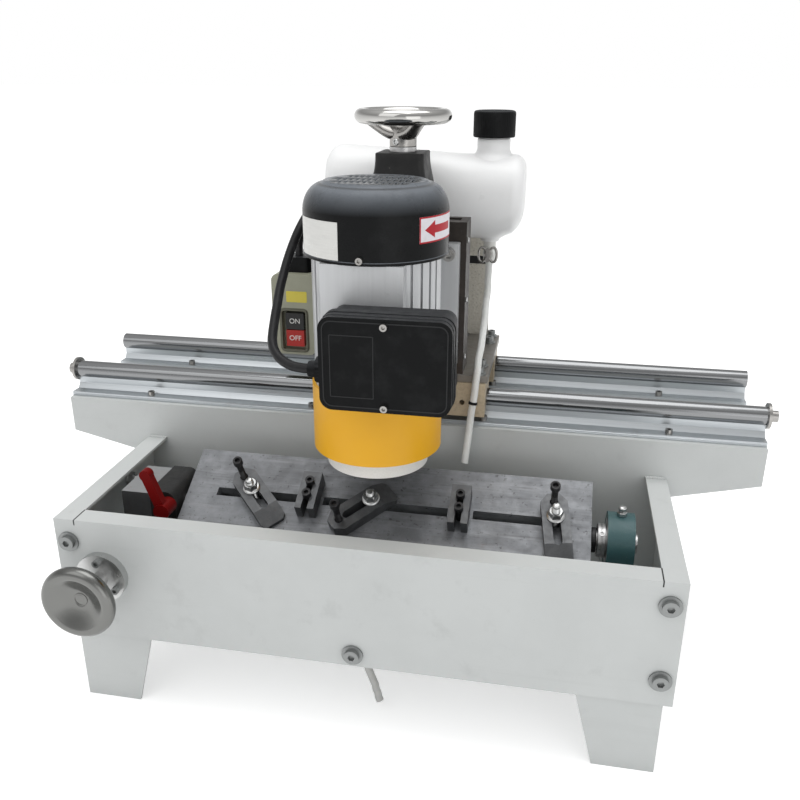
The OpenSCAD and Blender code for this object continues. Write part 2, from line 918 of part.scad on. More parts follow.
module pillow_block() {
    color("darkslategray") placed() difference() {
        union() {
            along_x(pillow_x0, pillow_x1) union() {
                translate([pivot_y, pivot_z]) circle(pillow_r);
                translate([pivot_y - pillow_r, pillow_base_z]) square([2 * pillow_r, pillow_h]);
                translate([pivot_y - pillow_w / 2, pillow_base_z]) square([pillow_w, pillow_base_t]);
            }
            translate([(pillow_x0 + pillow_x1) / 2, pivot_y, pivot_z])
                cylinder(d = nipple_d, h = pillow_r + nipple_h);
        }
        bar_x(pillow_x0 - over, pillow_x1 + over, pivot_y, pivot_z, insert_d);
        pillow_bolt_holes();
    }
}

module pillow_bearing() {
    color("silver") placed() difference() {
        union() {
            bar_x(pillow_x0, pillow_x1, pivot_y, pivot_z, insert_d - seat_gap);
            bar_x(pillow_x0 - insert_sleeve_l, pillow_x1, pivot_y, pivot_z, insert_sleeve_d);
        }
        bar_x(pillow_x0 - insert_sleeve_l - over, pillow_x1 + over, pivot_y, pivot_z,
            pivot_d + 2 * run_gap);
    }
}

module gear_block() {
    y0 = pivot_y - gear_d / 2;
    y1 = pivot_y + gear_d / 2;
    room = sector_t / 2 + sector_room;
    color("gray") placed() difference() {
        block([gear_x0, y0, floor_z], [gear_x1, y1, pivot_z + gear_top]);
        bar_x(worm_x, gear_x1 + over, pivot_y, pivot_z, pivot_d + 2 * run_gap);
        bar_x(worm_x - room - shaft_end, worm_x, pivot_y, pivot_z, pivot_d + 2 * run_gap);
        bar_x(worm_x - room, worm_x + room, pivot_y, pivot_z, sector_hub + 2 * sector_room);
        intersection() {
            bar_x(worm_x - room, worm_x + room, pivot_y, pivot_z, 2 * (sector_r + sector_room));
            block([worm_x - room, y0, floor_z], [worm_x + room, y1, pivot_z]);
        }
        bar_y(y0 - over, worm_y1, worm_x, worm_z, worm_d + 2 * run_gap);
        bar_y(worm_y1 - over, y1 + over, worm_x, worm_z, tail_d + 2 * run_gap);
    }
}

module clamp_housing() {
    y0 = pivot_y - gear_d / 2;
    z1 = pivot_z + clamp_box_top;
    r = clamp_box_round;
    color("black") placed() difference() {
        union() {
            block([gear_x1, y0, floor_z], [clamp_box_x1, y0 + gear_d, z1 - r]);
            block([gear_x1, y0, floor_z], [clamp_box_x1 - r, y0 + gear_d, z1]);
            bar_y(y0, y0 + gear_d, clamp_box_x1 - r, z1 - r, 2 * r);
        }
        bar_x(gear_x1 - over, clamp_box_x1 + over, pivot_y, pivot_z, pivot_d + 2 * run_gap);
        bar_y(y0 - over, y0 + lever_stud_l, lever_x, lever_z, lever_stud_d + 2 * run_gap);
    }
}

module handwheel_flange() {
    color("silver") placed() difference() {
        bar_y(-flange_t, 0, worm_x, worm_z, flange_d);
        flange_holes(-flange_t - over, over, 2 * run_gap);
    }
}

module lock_lever() {
    y0 = pivot_y - gear_d / 2 - guide_gap;
    color("firebrick") placed() {
        bar_y(y0 - lever_hub_l, y0, lever_x, lever_z, lever_hub_d);
        bar_y(y0 - over, y0 + lever_stud_l - over, lever_x, lever_z, lever_stud_d);
        translate([lever_x, y0 - lever_hub_l + lever_set + lever_t, lever_z]) rotate([90, -lever_lean, 0])
            linear_extrude(lever_t) {
                translate([-lever_arm_w / 2, 0]) square([lever_arm_w, lever_l]);
                translate([0, lever_l]) circle(d = lever_tip_d);
            }
    }
}

module front_handwheel() {
    rim_r = (hand_d - hand_rim_d) / 2;
    hub_r = hand_hub_d / 2;
    web_z = hand_dish - hand_rim_d / 2;
    color("silver") placed() translate([worm_x, -hand_back, worm_z]) rotate([90, 0, 0]) rotate_extrude() {
        translate([worm_shaft_d / 2, 0]) square([hub_r - worm_shaft_d / 2, hand_hub_l]);
        translate([rim_r, hand_dish]) circle(d = hand_rim_d);
        polygon([
            [hub_r, hand_web_t], [rim_r, web_z], [rim_r, web_z + hand_web_t], [hub_r, 2 * hand_web_t]
        ]);
    }
}

module worm_shaft() {
    pitch = (worm_y1 - worm_y0) / (worm_groove_n + 1);
    color("darkgray") placed() difference() {
        union() {
            bar_y(-hand_back - hand_hub_l, worm_y0, worm_x, worm_z, worm_shaft_d);
            bar_y(worm_y0, worm_y1, worm_x, worm_z, worm_d);
            bar_y(worm_y1 - over, worm_y1 + worm_end, worm_x, worm_z, tail_d);
        }
        for (i = [1 : worm_groove_n])
            translate([worm_x, worm_y0 + i * pitch, worm_z]) rotate([90, 0, 0])
                rotate_extrude() translate([worm_d / 2 - worm_groove_t, -worm_groove_w / 2])
                    square([worm_groove_t + over, worm_groove_w]);
    }
}

// Table

module table_plate() {
    z0 = table_rise - table_t;
    z1 = table_rise;
    color("dimgray") tilted() difference() {
        union() {
            block([table_x0, table_v0, z0], [table_x1, table_v1, z1]);
            block([table_x0, -rib_w / 2, -rib_h], [table_x1, rib_w / 2, z1]);
        }
        for (e = slot_ends) {
            block([e[0], slot_v - slot_w / 2, -rib_h - over], [e[1], slot_v + slot_w / 2, z1 + over]);
            block([e[0], slot_v - tee_w / 2, -rib_h - over], [e[1], slot_v + tee_w / 2, tee_h]);
        }
        bar_x(table_x0 - over, table_x0 + shaft_in, 0, 0, pivot_d);
        bar_x(table_x1 - shaft_in, table_x1 + over, 0, 0, pivot_d);
        for (u = stop_us, v = stop_screw_vs)
            bar_z(z1 - stop_screw_deep - over, z1 + over, u, v, stop_screw_d + hole_gap);
    }
}

// The left shaft carries the worm sector, the right one runs in the pillow block
module table_shafts() {
    color("silver") tilted() {
        bar_x(worm_x - sector_t / 2 - shaft_end, table_x0 + shaft_in, 0, 0, pivot_d);
        rotate([-tilt, 0, 0]) along_x(worm_x - sector_t / 2, worm_x + sector_t / 2) sector_outline();
        bar_x(table_x1 - shaft_in, pillow_x1 + shaft_end, 0, 0, pivot_d);
    }
}

// A round hub with a toothed wedge that hangs down to the worm
module sector_outline() {
    reach = 2 * sector_r;
    circle(d = sector_hub);
    difference() {
        intersection() {
            circle(sector_r);
            polygon([
                [0, 0], [-reach * sin(sector_half), -reach * cos(sector_half)], [0, -2 * reach],
                [reach * sin(sector_half), -reach * cos(sector_half)]
            ]);
        }
        for (i = [0 : tooth_n - 1]) rotate((i - (tooth_n - 1) / 2) * tooth_step)
            translate([-tooth_w / 2, -sector_r - over]) square([tooth_w, tooth_deep + over]);
    }
}

module stop_screws() {
    color("black") tilted() for (u = stop_us, v = stop_screw_vs)
        translate([u, v, table_rise + stop_t]) socket_screw(stop_screw_d, stop_t + stop_screw_deep - over);
}

module stop_block(u) {
    v0 = stop_back - stop_l;
    slot = stop_screw_d + hole_gap;
    color("slategray") tilted() translate([u, 0, table_rise]) difference() {
        block([-stop_w / 2, v0, 0], [stop_w / 2, stop_back, stop_t]);
        block([-slot / 2, v0 - over, -over], [slot / 2, stop_slot_v - slot / 2, stop_t + over]);
        bar_z(-over, stop_t + over, 0, stop_slot_v - slot / 2, slot);
    }
}

module stop_block_1() {
    stop_block(stop_us[0]);
}

module stop_block_2() {
    stop_block(stop_us[1]);
}

// Moves a clamp to its stud on the table, its tail at x = 0
module clamped(i) {
    tilted() translate([clamp_us[i], slot_v, table_rise]) rotate(clamp_angles[i])
        translate([-clamp_l * clamp_stud_shares[i], 0, 0]) children();
}

module clamp_bar(i) {
    hw = clamp_w / 2;
    slot = stud_d + hole_gap;
    ends = [clamp_l * clamp_slot_share[0], clamp_l * clamp_slot_share[1]];
    tail = clamp_tail_w / 2;
    cut = clamp_nose_cut;
    color("dimgray") clamped(i) difference() {
        intersection() {
            along_y(-clamp_w, clamp_w) polygon([
                [-over, 0], [clamp_l + over, 0], [clamp_l + over, clamp_nose_t], [clamp_l, clamp_nose_t],
                [clamp_l - clamp_nose_l, clamp_t], [-over, clamp_t]
            ]);
            translate([0, 0, -over]) linear_extrude(clamp_t + 2 * over) polygon([
                [0, -tail], [clamp_tail_l, -hw], [clamp_l - cut, -hw], [clamp_l, cut - hw],
                [clamp_l, hw - cut], [clamp_l - cut, hw], [clamp_tail_l, hw], [0, tail]
            ]);
        }
        for (x = ends) bar_z(-over, clamp_t + over, x, 0, slot);
        block([ends[0], -slot / 2, -over], [ends[1], slot / 2, clamp_t + over]);
        bar_z(-over, clamp_t + over, clamp_jack_in, 0, slot);
    }
}

module clamp_bar_1() {
    clamp_bar(0);
}

module clamp_bar_2() {
    clamp_bar(1);
}

module clamp_bar_3() {
    clamp_bar(2);
}

// Stud with its tee nut and flange nut, and the jack screw at the clamp's tail
module clamp_screws(i) {
    tee_top = tee_h - table_rise;
    color("silver") clamped(i) {
        translate([clamp_l * clamp_stud_shares[i], 0, 0]) {
            bar_z(tee_top - tee_nut_h, stud_top, 0, 0, stud_d);
            rotate(-clamp_angles[i]) block([-tee_nut_w / 2, -tee_nut_w / 2, tee_top - tee_nut_h],
                [tee_nut_w / 2, tee_nut_w / 2, tee_top]);
            translate([0, 0, clamp_t]) {
                cylinder(d = nut_flange_d, h = nut_flange_t);
                cylinder(d = stud_d * hex_share, h = nut_flange_t + stud_d * nut_share, $fn = 6);
            }
        }
        translate([clamp_jack_in, 0, jack_top - stud_d]) socket_screw(stud_d, jack_top - stud_d);
    }
}

module clamp_screws_1() {
    clamp_screws(0);
}

module clamp_screws_2() {
    clamp_screws(1);
}

module clamp_screws_3() {
    clamp_screws(2);
}

// Carriage

// Places of the screws that hold the carriage plate on its bearing blocks
module plate_bolt_places() {
    for (sx = [-1, 1], y = [rail_y1, rail_y2], tx = [-1, 1], ty = [-1, 1])
        translate([sx * block_x + tx * block_l * block_bolt_share, y + ty * plate_bolt_y, plate_z1])
            children();
}

module carriage_plate() {
    color("gray") carried() difference() {
        block([-plate_w / 2, plate_y0, block_top], [plate_w / 2, plate_y1, plate_z1]);
        plate_bolt_places() translate([0, 0, -plate_t - over])
            cylinder(d = plate_bolt_d + hole_gap, h = plate_t + 2 * over);
    }
}

module bearing_blocks() {
    color("tan") carried() difference() {
        for (sx = [-1, 1], y = [rail_y1, rail_y2]) translate([sx * block_x, y, rod_z]) difference() {
            block([-block_l / 2, -block_w / 2, -block_drop], [block_l / 2, block_w / 2, block_rise]);
            bar_x(-block_l, block_l, 0, 0, rod_d + 2 * run_gap);
            block([-block_l, -block_slot / 2, -block_drop - over], [block_l, block_slot / 2, 0]);
            bar_y(-block_w / 2 - over, 0, 0, 0, block_hole);
        }
        plate_bolt_places() translate([0, 0, -plate_bolt_l - over])
            cylinder(d = plate_bolt_d + seat_gap, h = plate_bolt_l + over);
    }
}

module carriage_bolts() {
    color("silver") carried() plate_bolt_places() washer_screw(plate_bolt_d, plate_bolt_l, plate_washer_d);
}

module column() {
    cw = column_w / 2;
    vw = cavity_w / 2;
    color("dimgray") carried() difference() {
        union() {
            block([-way_w / 2, way_y, plate_z1], [way_w / 2, way_y + way_t, column_z1]);
            block([-cw, way_y, plate_z1], [cw, column_y1, column_z1]);
            block([-neck_w / 2, screw_y - neck_w / 2, column_z1],
                [neck_w / 2, screw_y + neck_w / 2, neck_z1]);
        }
        block([-vw, way_y - over, plate_z1 + column_cap_t], [vw, cavity_y1, column_z1 - column_cap_t]);
        bar_z(plate_z1 + column_cap_t - screw_foot, plate_z1 + column_cap_t + over, 0, screw_y,
            journal_d + 2 * run_gap);
        bar_z(column_z1 - column_cap_t - over, neck_z1 + over, 0, screw_y, screw_d + 2 * run_gap);
    }
}

module tank_panel() {
    z1 = plate_z1 + panel_rise;
    shelf_z1 = tank_z - tank_d / 2;
    slot_z = plate_z1 + strap_slot_z;
    color("darkkhaki") carried() difference() {
        union() {
            block([-tank_panel_w / 2, plate_y1, block_top],
                [tank_panel_w / 2, plate_y1 + tank_panel_t, z1]);
            block([-tank_shelf_w / 2, tank_y - tank_d / 2, shelf_z1 - tank_shelf_t],
                [tank_shelf_w / 2, plate_y1 + tank_panel_t, shelf_z1]);
            for (s = [-1, 1])
                block([s * saddle_x - saddle_w / 2, tank_y - saddle_d / 2, shelf_z1 - tank_shelf_t],
                    [s * saddle_x + saddle_w / 2, tank_y + saddle_d / 2, shelf_z1 + saddle_h]);
        }
        bar_x(tank_x - tank_l / 2, tank_x + tank_l / 2, tank_y, tank_z, tank_d);
        for (s = [-1, 1])
            translate([s * strap_slot_x, plate_y1, slot_z])
                block([-strap_slot_w / 2, -over, -strap_slot_h / 2],
                    [strap_slot_w / 2, tank_panel_t + over, strap_slot_h / 2]);
    }
}

// A lying cylinder with rounded ends, the tank's outer or inner skin
module tank_skin(l, d, r) {
    translate([tank_x - l / 2, tank_y, tank_z]) rotate([0, 90, 0]) rotate_extrude() intersection() {
        round_rect([-d / 2, 0], [d / 2, l], r);
        square([d / 2, l]);
    }
}

module tank() {
    z1 = tank_z + tank_d / 2;
    color("white", 0.8) carried() difference() {
        union() {
            tank_skin(tank_l, tank_d, tank_round);
            bar_z(z1 - filler_sink, z1 + filler_h, filler_x, tank_y, filler_d);
            bar_z(z1, z1 + filler_h + thread_h, filler_x, tank_y, filler_d - 2 * cap_lift);
            bar_z(tap_z1, tap_z1 + tap_boss_h + tank_t, filler_x, tank_y, tap_boss_d);
        }
        tank_skin(tank_l - 2 * tank_t, tank_d - 2 * tank_t, tank_round - tank_t);
        bar_z(tank_z, z1 + filler_h + thread_h + over, filler_x, tank_y,
            filler_d - 2 * cap_lift - 2 * filler_wall);
        bar_z(tap_z1 - over, tank_z, filler_x, tank_y, tap_bore);
    }
}

module tank_cap() {
    z1 = cap_z0 + cap_h;
    color("black") carried() difference() {
        bar_z(cap_z0, z1, filler_x, tank_y, cap_d);
        bar_z(cap_z0 - over, z1 - cap_wall, filler_x, tank_y, filler_d - 2 * cap_lift + 2 * guide_gap);
    }
}

module tap_body() {
    color("whitesmoke") carried() difference() {
        union() {
            bar_z(tap_z0, tap_z1, filler_x, tank_y, tap_d);
            bar_y(tank_y - tap_d / 2 - tap_stem_l, tank_y, filler_x, tap_hinge_z, tap_stem_d + 2 * tank_t);
        }
        bar_z(tap_hinge_z, tap_z1 + over, filler_x, tank_y, tap_bore);
        bar_y(tank_y - tap_d - tap_stem_l, tank_y, filler_x, tap_hinge_z, tap_stem_d + 2 * run_gap);
    }
}

module tap_handle() {
    y0 = tank_y - tap_d / 2 - tap_stem_l - guide_gap;
    color("gainsboro") carried() {
        bar_y(y0 - over, tank_y - over, filler_x, tap_hinge_z, tap_stem_d);
        translate([filler_x, y0 - wing_t, tap_hinge_z]) rotate([-90, 0, 0]) linear_extrude(wing_t)
            round_rect([-wing_l / 2, -wing_h / 2], [wing_l / 2, wing_h / 2], wing_h / 2 - guide_gap);
    }
}

module water_hose() {
    color("white") placed() tube(led(water_hose_route, tap_end, hose_end), hose_d);
}

// Head feed

module lead_screw() {
    z0 = plate_z1 + column_cap_t;
    color("silver") carried() {
        bar_z(z0 - screw_foot + guide_gap, z0 + guide_gap, 0, screw_y, journal_d);
        bar_z(z0 + guide_gap, neck_z1 + top_rise, 0, screw_y, screw_d);
        bar_z(neck_z1 + guide_gap, neck_z1 + top_collar_h, 0, screw_y, top_collar_d);
    }
}

module top_handwheel() {
    rim_r = (top_wheel_d - top_rim_d) / 2;
    hub_z = neck_z1 + top_collar_h;
    rim_z = neck_z1 + top_rise;
    reach = rim_r - top_hub_d / 4;
    rise = rim_z - hub_z - top_spoke_dip;
    color("lightgray") carried() translate([0, screw_y, 0]) {
        difference() {
            bar_z(hub_z, hub_z + top_hub_h, 0, 0, top_hub_d);
            bar_z(hub_z - over, hub_z + top_hub_h + over, 0, 0, screw_d);
        }
        translate([0, 0, rim_z]) rotate_extrude() translate([rim_r, 0]) circle(d = top_rim_d);
        for (i = [0 : top_spoke_n - 1]) rotate(360 * i / top_spoke_n)
            translate([top_hub_d / 2 - over, 0, hub_z + top_spoke_dip])
                rotate([0, atan2(reach - top_hub_d / 4, rise), 0])
                    cylinder(d = top_spoke_d, h = norm([reach - top_hub_d / 4, rise]));
    }
}

module slide_plate() {
    hw = slide_w / 2;
    lip_y = way_y + way_t + guide_gap;
    color([0.2, 0.17, 0.15]) carried() {
        difference() {
            block([-hw, slide_y0, slide_z0], [hw, slide_y1, slide_z1]);
            bar_z(motor_z1 - over, slide_z1 + over, 0, motor_y, cover_d + hole_gap);
            bar_z(slide_z0 - over, guard_z1, 0, motor_y, guard_d + hole_gap);
        }
        for (s = [0, 1]) mirror([s, 0, 0]) {
            block([hw - hook_w, slide_y0, slide_z0], [hw, lip_y + hook_w, slide_z1]);
            block([hw - hook_w - hook_lip, lip_y, slide_z0], [hw, lip_y + hook_w, slide_z1]);
        }
        block([-hw - arm_t, lip_y, arm_z0], [-hw, switch_y1 + arm_t, arm_z1]);
        block([switch_x0 + arm_in, switch_y1, arm_z0], [-hw, switch_y1 + arm_t, arm_z1]);
    }
}

module feed_nut() {
    z0 = slide_z0 + nut_z;
    color("goldenrod") carried() difference() {
        block([-nut_w / 2, slide_y1, z0], [nut_w / 2, screw_y + nut_reach, z0 + nut_h]);
        bar_z(z0 - over, z0 + nut_h + over, 0, screw_y, screw_d + 2 * run_gap);
    }
}

// Motor

module motor_housing() {
    bore = stator_bore + 2 * stator_t;
    color("silver") carried() translate([0, motor_y, 0]) difference() {
        union() {
            translate([0, 0, motor_z0]) linear_extrude(motor_h) difference() {
                union() {
                    circle(motor_r);
                    translate([-pad_w / 2, -motor_back]) square([pad_w, motor_back]);
                    translate([-ear_w / 2, motor_back - ear_t]) square([ear_w, ear_t]);
                }
                for (a = groove_angles) rotate(a)
                    translate([-groove_w / 2, -motor_r - over]) square([groove_w, groove_t + over]);
            }
            bar_z(motor_z1, motor_z1 + spigot_h, 0, 0, cover_d - 2 * cover_t - seat_gap);
        }
        bar_z(motor_z0 - over, motor_z1 + spigot_h + over, 0, 0, bore);
        cover_screw_places() translate([0, 0, -cover_screw_l])
            cylinder(d = cover_screw_d + hole_gap, h = cover_screw_l + over);
        ear_bolt_places() translate([0, 0, -ear_t - over])
            cylinder(d = ear_bolt_d + hole_gap, h = ear_t + 2 * over);
    }
}

// Places of the bolts through the motor's ears, measured from the motor axis
module ear_bolt_places() {
    for (s = [-1, 1], z = [motor_z0 + ear_bolt_low, motor_z1 - ear_bolt_low + ear_bolt_in])
        screw_back(s * (ear_w / 2 - ear_bolt_in), motor_back - ear_t, z) children();
}

module end_shields() {
    bore = stator_bore + 2 * stator_t - seat_gap;
    color("darkgray") carried() translate([0, motor_y, 0]) {
        difference() {
            bar_z(motor_z0 - shield_h, motor_z0 + shield_inset, 0, 0, bore);
            bar_z(motor_z0 - shield_h - over, motor_z0 + shield_inset + over, 0, 0, bearing_d + seat_gap);
        }
        difference() {
            union() {
                bar_z(motor_z1 + spigot_h - shield_inset, motor_z1 + spigot_h, 0, 0, bore);
                bar_z(motor_z1 + spigot_h - shield_inset - shield_boss, motor_z1 + spigot_h, 0, 0,
                    bearing_d + 2 * shield_boss);
            }
            bar_z(motor_z1, motor_z1 + spigot_h + over, 0, 0, bearing_d + seat_gap);
        }
    }
}

module motor_bearings() {
    zs = [motor_z0 - shield_h, motor_z1 + spigot_h - shield_inset - shield_boss];
    color("lightgray") carried() translate([0, motor_y, 0]) for (z = zs) difference() {
        bar_z(z, z + bearing_h, 0, 0, bearing_d);
        bar_z(z - over, z + bearing_h + over, 0, 0, shaft_d + 2 * run_gap);
    }
}

module stator() {
    z0 = motor_z0 + (motor_h - stator_h) / 2;
    coil_d = stator_bore + 2 * coil_in;
    color("peru") carried() translate([0, motor_y, 0]) difference() {
        union() {
            bar_z(z0, z0 + stator_h, 0, 0, stator_bore + 2 * stator_t - seat_gap);
            bar_z(z0 - coil_h, z0 + stator_h + coil_h, 0, 0, coil_d + stator_t);
        }
        bar_z(z0 - coil_h - over, z0 + stator_h + coil_h + over, 0, 0, stator_bore);
        for (z = [z0 - coil_h - over, z0 + stator_h]) bar_z(z, z + coil_h + over, 0, 0, coil_d);
    }
}

module fan_cover() {
    r = cover_d / 2;
    r_in = r - cover_t;
    h = cover_h;
    color([0.13, 0.13, 0.14]) carried() translate([0, motor_y, motor_z1]) difference() {
        union() {
            rotate_extrude() difference() {
                cover_outline(r, h);
                translate([0, -over]) cover_outline(r_in, h - cover_t + over);
            }
        }
        for (a = [0 : 15 : 345]) rotate(a)
            translate([0, -groove_w / 2, h - 2 * cover_t])
                translate([cover_top_r - 2 * groove_w, 0, 0]) cube([3 * groove_w, groove_w, 3 * cover_t]);
        translate([0, 0, -motor_z1]) cover_screw_places() translate([0, 0, -cover_screw_l])
            cylinder(d = cover_screw_d + hole_gap, h = cover_screw_l + over);
    }
}

// Places of the screws around the fan cover's foot, measured from the motor axis
module cover_screw_places() {
    for (a = [30, 150, 270]) rotate(a)
        translate([cover_d / 2, 0, motor_z1 + spigot_h / 2]) rotate([0, 90, 0]) children();
}

// Half of the fan cover's section: a straight wall and a round shoulder
module cover_outline(r, h) {
    square([r, h - cover_shoulder]);
    square([r - cover_shoulder, h]);
    translate([r - cover_shoulder, h - cover_shoulder]) intersection() {
        circle(cover_shoulder);
        square(cover_shoulder);
    }
}

module terminal_box() {
    z1 = box_z0 + box_h;
    t = box_wall;
    color([0.1, 0.1, 0.11]) carried() difference() {
        along_y(box_y0, box_y1) round_rect([box_x0, box_z0], [box_x1, z1], box_round);
        along_y(box_y0 - over, box_y1 - t)
            round_rect([box_x0 + t, box_z0 + t], [box_x1 - t, z1 - t], box_round - t);
        bar_x(box_x0 - over, box_x0 + t + over, (box_y0 + box_y1) / 2, box_z0 + gland_z, cable_d);
    }
}

module terminal_cover() {
    z1 = box_z0 + box_h;
    e = lid_rim;
    color([0.08, 0.08, 0.09]) carried() difference() {
        along_y(box_y0 - lid_t, box_y0)
            round_rect([box_x0 - e, box_z0 - e / 2], [box_x1 + e, z1 + e], box_round + e / 2);
        along_y(box_y0 - lid_t + box_wall, box_y0 + over) round_rect(
            [box_x0 + box_wall, box_z0 + 2 * lid_screw_set], [box_x1 - box_wall, z1 - 2 * lid_screw_set],
            box_round - box_wall);
        lid_screw_places() translate([0, 0, -lid_t - over])
            cylinder(d = cover_screw_d + hole_gap, h = lid_t + 2 * over);
    }
}

module lid_screw_places() {
    for (z = [box_z0 + lid_screw_set, box_z0 + box_h - lid_screw_set])
        screw_back(box_shift, box_y0 - lid_t, z) children();
}

module head_screws() {
    color("silver") carried() {
        lid_screw_places() socket_screw(cover_screw_d, lid_t - over);
        translate([0, motor_y, 0]) {
            ear_bolt_places() socket_screw(ear_bolt_d, ear_t - over);
            cover_screw_places() socket_screw(cover_screw_d, cover_screw_l - cover_t);
        }
    }
}

module cable_glands() {
    y = (box_y0 + box_y1) / 2;
    z = box_z0 + gland_z;
    x1 = switch_x0 + boot_x + boot_w / 2;
    y1 = switch_y0 + boot_y + boot_d / 2;
    color([0.07, 0.07, 0.07]) carried() {
        bar_x(box_x0 - gland_step, box_x0, y, z, gland_d);
        bar_x(box_x0 - gland_l, box_x0 - gland_step, y, z, gland_nose_d);
        translate([0, 0, switch_z1]) linear_extrude(boot_h)
            round_rect([x1 - boot_w, y1 - boot_d], [x1, y1], boot_d / 4);
    }
}

module motor_cable() {
    color([0.1, 0.1, 0.1]) placed() tube(led(motor_cable_route, gland_end, boot_top), cable_d);
}

module wheel_guard() {
    color("orange") carried() translate([0, motor_y, 0]) difference() {
        bar_z(guard_z0, guard_z1, 0, 0, guard_d);
        bar_z(guard_z0 - over, guard_z1 - shield_h - guard_t, 0, 0, guard_d - 2 * guard_t);
        bar_z(guard_z1 - shield_h, guard_z1 + over, 0, 0, guard_d - 2 * guard_t);
        bar_z(guard_z0, guard_z1, 0, 0, guard_hole);
    }
}

// Spindle: shaft with rotor, fan, wheel flange and nut

module motor_shaft() {
    rotor_z = motor_z0 + (motor_h - stator_h) / 2;
    fan_z0 = motor_z1 + fan_z;
    nut_z1 = stone_z1 - stone_web;
    color("darkgray") carried() translate([0, motor_y, 0]) {
        bar_z(stone_z1 + hub_t, fan_z0 + fan_h, 0, 0, shaft_d);
        bar_z(rotor_z, rotor_z + stator_h, 0, 0, stator_bore - 2 * rotor_gap);
        bar_z(stone_z1, stone_z1 + hub_t, 0, 0, hub_d);
        bar_z(nut_z1 - wheel_nut_h - spindle_end, stone_z1, 0, 0, spindle_d);
        translate([0, 0, nut_z1 - wheel_nut_h]) cylinder(d = wheel_nut_w, h = wheel_nut_h, $fn = 6);
        bar_z(fan_z0, fan_z0 + fan_h, 0, 0, fan_hub_d);
        bar_z(fan_z0, fan_z0 + fan_disc_t, 0, 0, fan_d);
        for (i = [0 : blade_n - 1]) rotate(360 * i / blade_n)
            translate([0, -blade_t / 2, fan_z0]) cube([fan_d / 2 - blade_t, blade_t, fan_h]);
    }
}

module grinding_wheel() {
    r = stone_d / 2;
    color("white") carried() translate([0, motor_y, stone_z0]) rotate_extrude() difference() {
        polygon([
            [0, 0], [r, 0], [r, stone_h - stone_step], [r - stone_step, stone_h], [0, stone_h]
        ]);
        translate([0, -over]) square([r - stone_rim, stone_h - stone_web + over]);
        square([spindle_d / 2, stone_h + over]);
    }
}

// Switch

module switch_box() {
    cx = (switch_x0 + switch_x1) / 2;
    z0 = switch_z0 + well_low;
    color([0.72, 0.72, 0.66]) carried() difference() {
        along_y(switch_y0, switch_y1)
            round_rect([switch_x0, switch_z0], [switch_x1, switch_z1], switch_round);
        block([cx - well_w / 2, switch_y0 - over, z0],
            [cx + well_w / 2, switch_y0 + well_deep, z0 + well_h]);
        for (s = [-1, 1]) button_hole(s);
    }
}

// Middle of the well that holds the two buttons
function well_mid() = [(switch_x0 + switch_x1) / 2, switch_z0 + well_low + well_h / 2];

module button_hole(s) {
    c = well_mid();
    z = c[1] + s * (button_h + button_gap) / 2;
    hw = button_w / 2 + guide_gap;
    hh = button_h / 2 + guide_gap;
    block([c[0] - hw, switch_y0, z - hh],
        [c[0] + hw, switch_y0 + button_out + button_deep + button_travel + guide_gap, z + hh]);
}

module button(s, y0) {
    c = well_mid();
    z = c[1] + s * (button_h + button_gap) / 2;
    block([c[0] - button_w / 2, y0, z - button_h / 2],
        [c[0] + button_w / 2, y0 + button_deep, z + button_h / 2]);
}

module on_button() {
    color("black") carried() button(1, switch_y0 + button_out);
}

module off_button() {
    color("red") carried() button(-1, switch_y0 + button_out);
}

front_panel();
left_side_panel();
right_side_panel();
tray_floor();
rail_beam();
legs();
frame_bolts();
rail_supports();
rail_rods();
rail_screws();
pillow_block();
pillow_bearing();
gear_block();
clamp_housing();
handwheel_flange();
drain_hose();
lock_lever();
front_handwheel();
worm_shaft();
table_plate();
table_shafts();
stop_screws();
stop_block_1();
stop_block_2();
clamp_bar_1();
clamp_bar_2();
clamp_bar_3();
clamp_screws_1();
clamp_screws_2();
clamp_screws_3();
carriage_plate();
bearing_blocks();
carriage_bolts();
column();
tank_panel();
tank();
tap_body();
water_hose();
tap_handle();
tank_cap();
top_handwheel();
lead_screw();
slide_plate();
feed_nut();
motor_housing();
end_shields();
motor_bearings();
stator();
fan_cover();
terminal_box();
terminal_cover();
head_screws();
cable_glands();
motor_cable();
wheel_guard();
switch_box();
on_button();
off_button();
motor_shaft();
grinding_wheel();
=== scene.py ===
"""Planer knife grinder: materials, detail pieces, cords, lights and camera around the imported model."""

from math import atan2, copysign, cos, hypot, pi, radians, sin, sqrt

import bmesh
import bpy
from mathutils import Matrix, Vector


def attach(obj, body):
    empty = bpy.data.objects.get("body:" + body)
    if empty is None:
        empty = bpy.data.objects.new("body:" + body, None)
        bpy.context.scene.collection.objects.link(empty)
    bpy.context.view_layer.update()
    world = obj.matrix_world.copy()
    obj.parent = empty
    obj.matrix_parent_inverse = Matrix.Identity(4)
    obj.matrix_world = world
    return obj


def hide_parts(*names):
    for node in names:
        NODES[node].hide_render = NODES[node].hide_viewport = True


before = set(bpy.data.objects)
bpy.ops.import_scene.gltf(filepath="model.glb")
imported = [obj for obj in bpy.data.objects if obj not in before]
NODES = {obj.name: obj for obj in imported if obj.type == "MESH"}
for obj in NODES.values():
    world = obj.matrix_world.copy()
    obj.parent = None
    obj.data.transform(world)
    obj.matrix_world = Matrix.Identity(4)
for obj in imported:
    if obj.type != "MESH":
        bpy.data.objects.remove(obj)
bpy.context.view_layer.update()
scene = bpy.context.scene
scene.view_settings.view_transform = "Standard"

MM = 0.001
# Distance from the front panel's face to the row frame's origin, along Y
ORIGIN_Y = 164.0
# Place of the carriage along the rails
CARRIAGE_X = 5.0


def at(x, y, z):
    """A point measured in mm from the front panel's face, as a point of the row frame in metres."""
    return Vector((x * MM, (y - ORIGIN_Y) * MM, z * MM))


def add_object(name, data):
    obj = bpy.data.objects.new(name, data)
    scene.collection.objects.link(obj)
    return obj


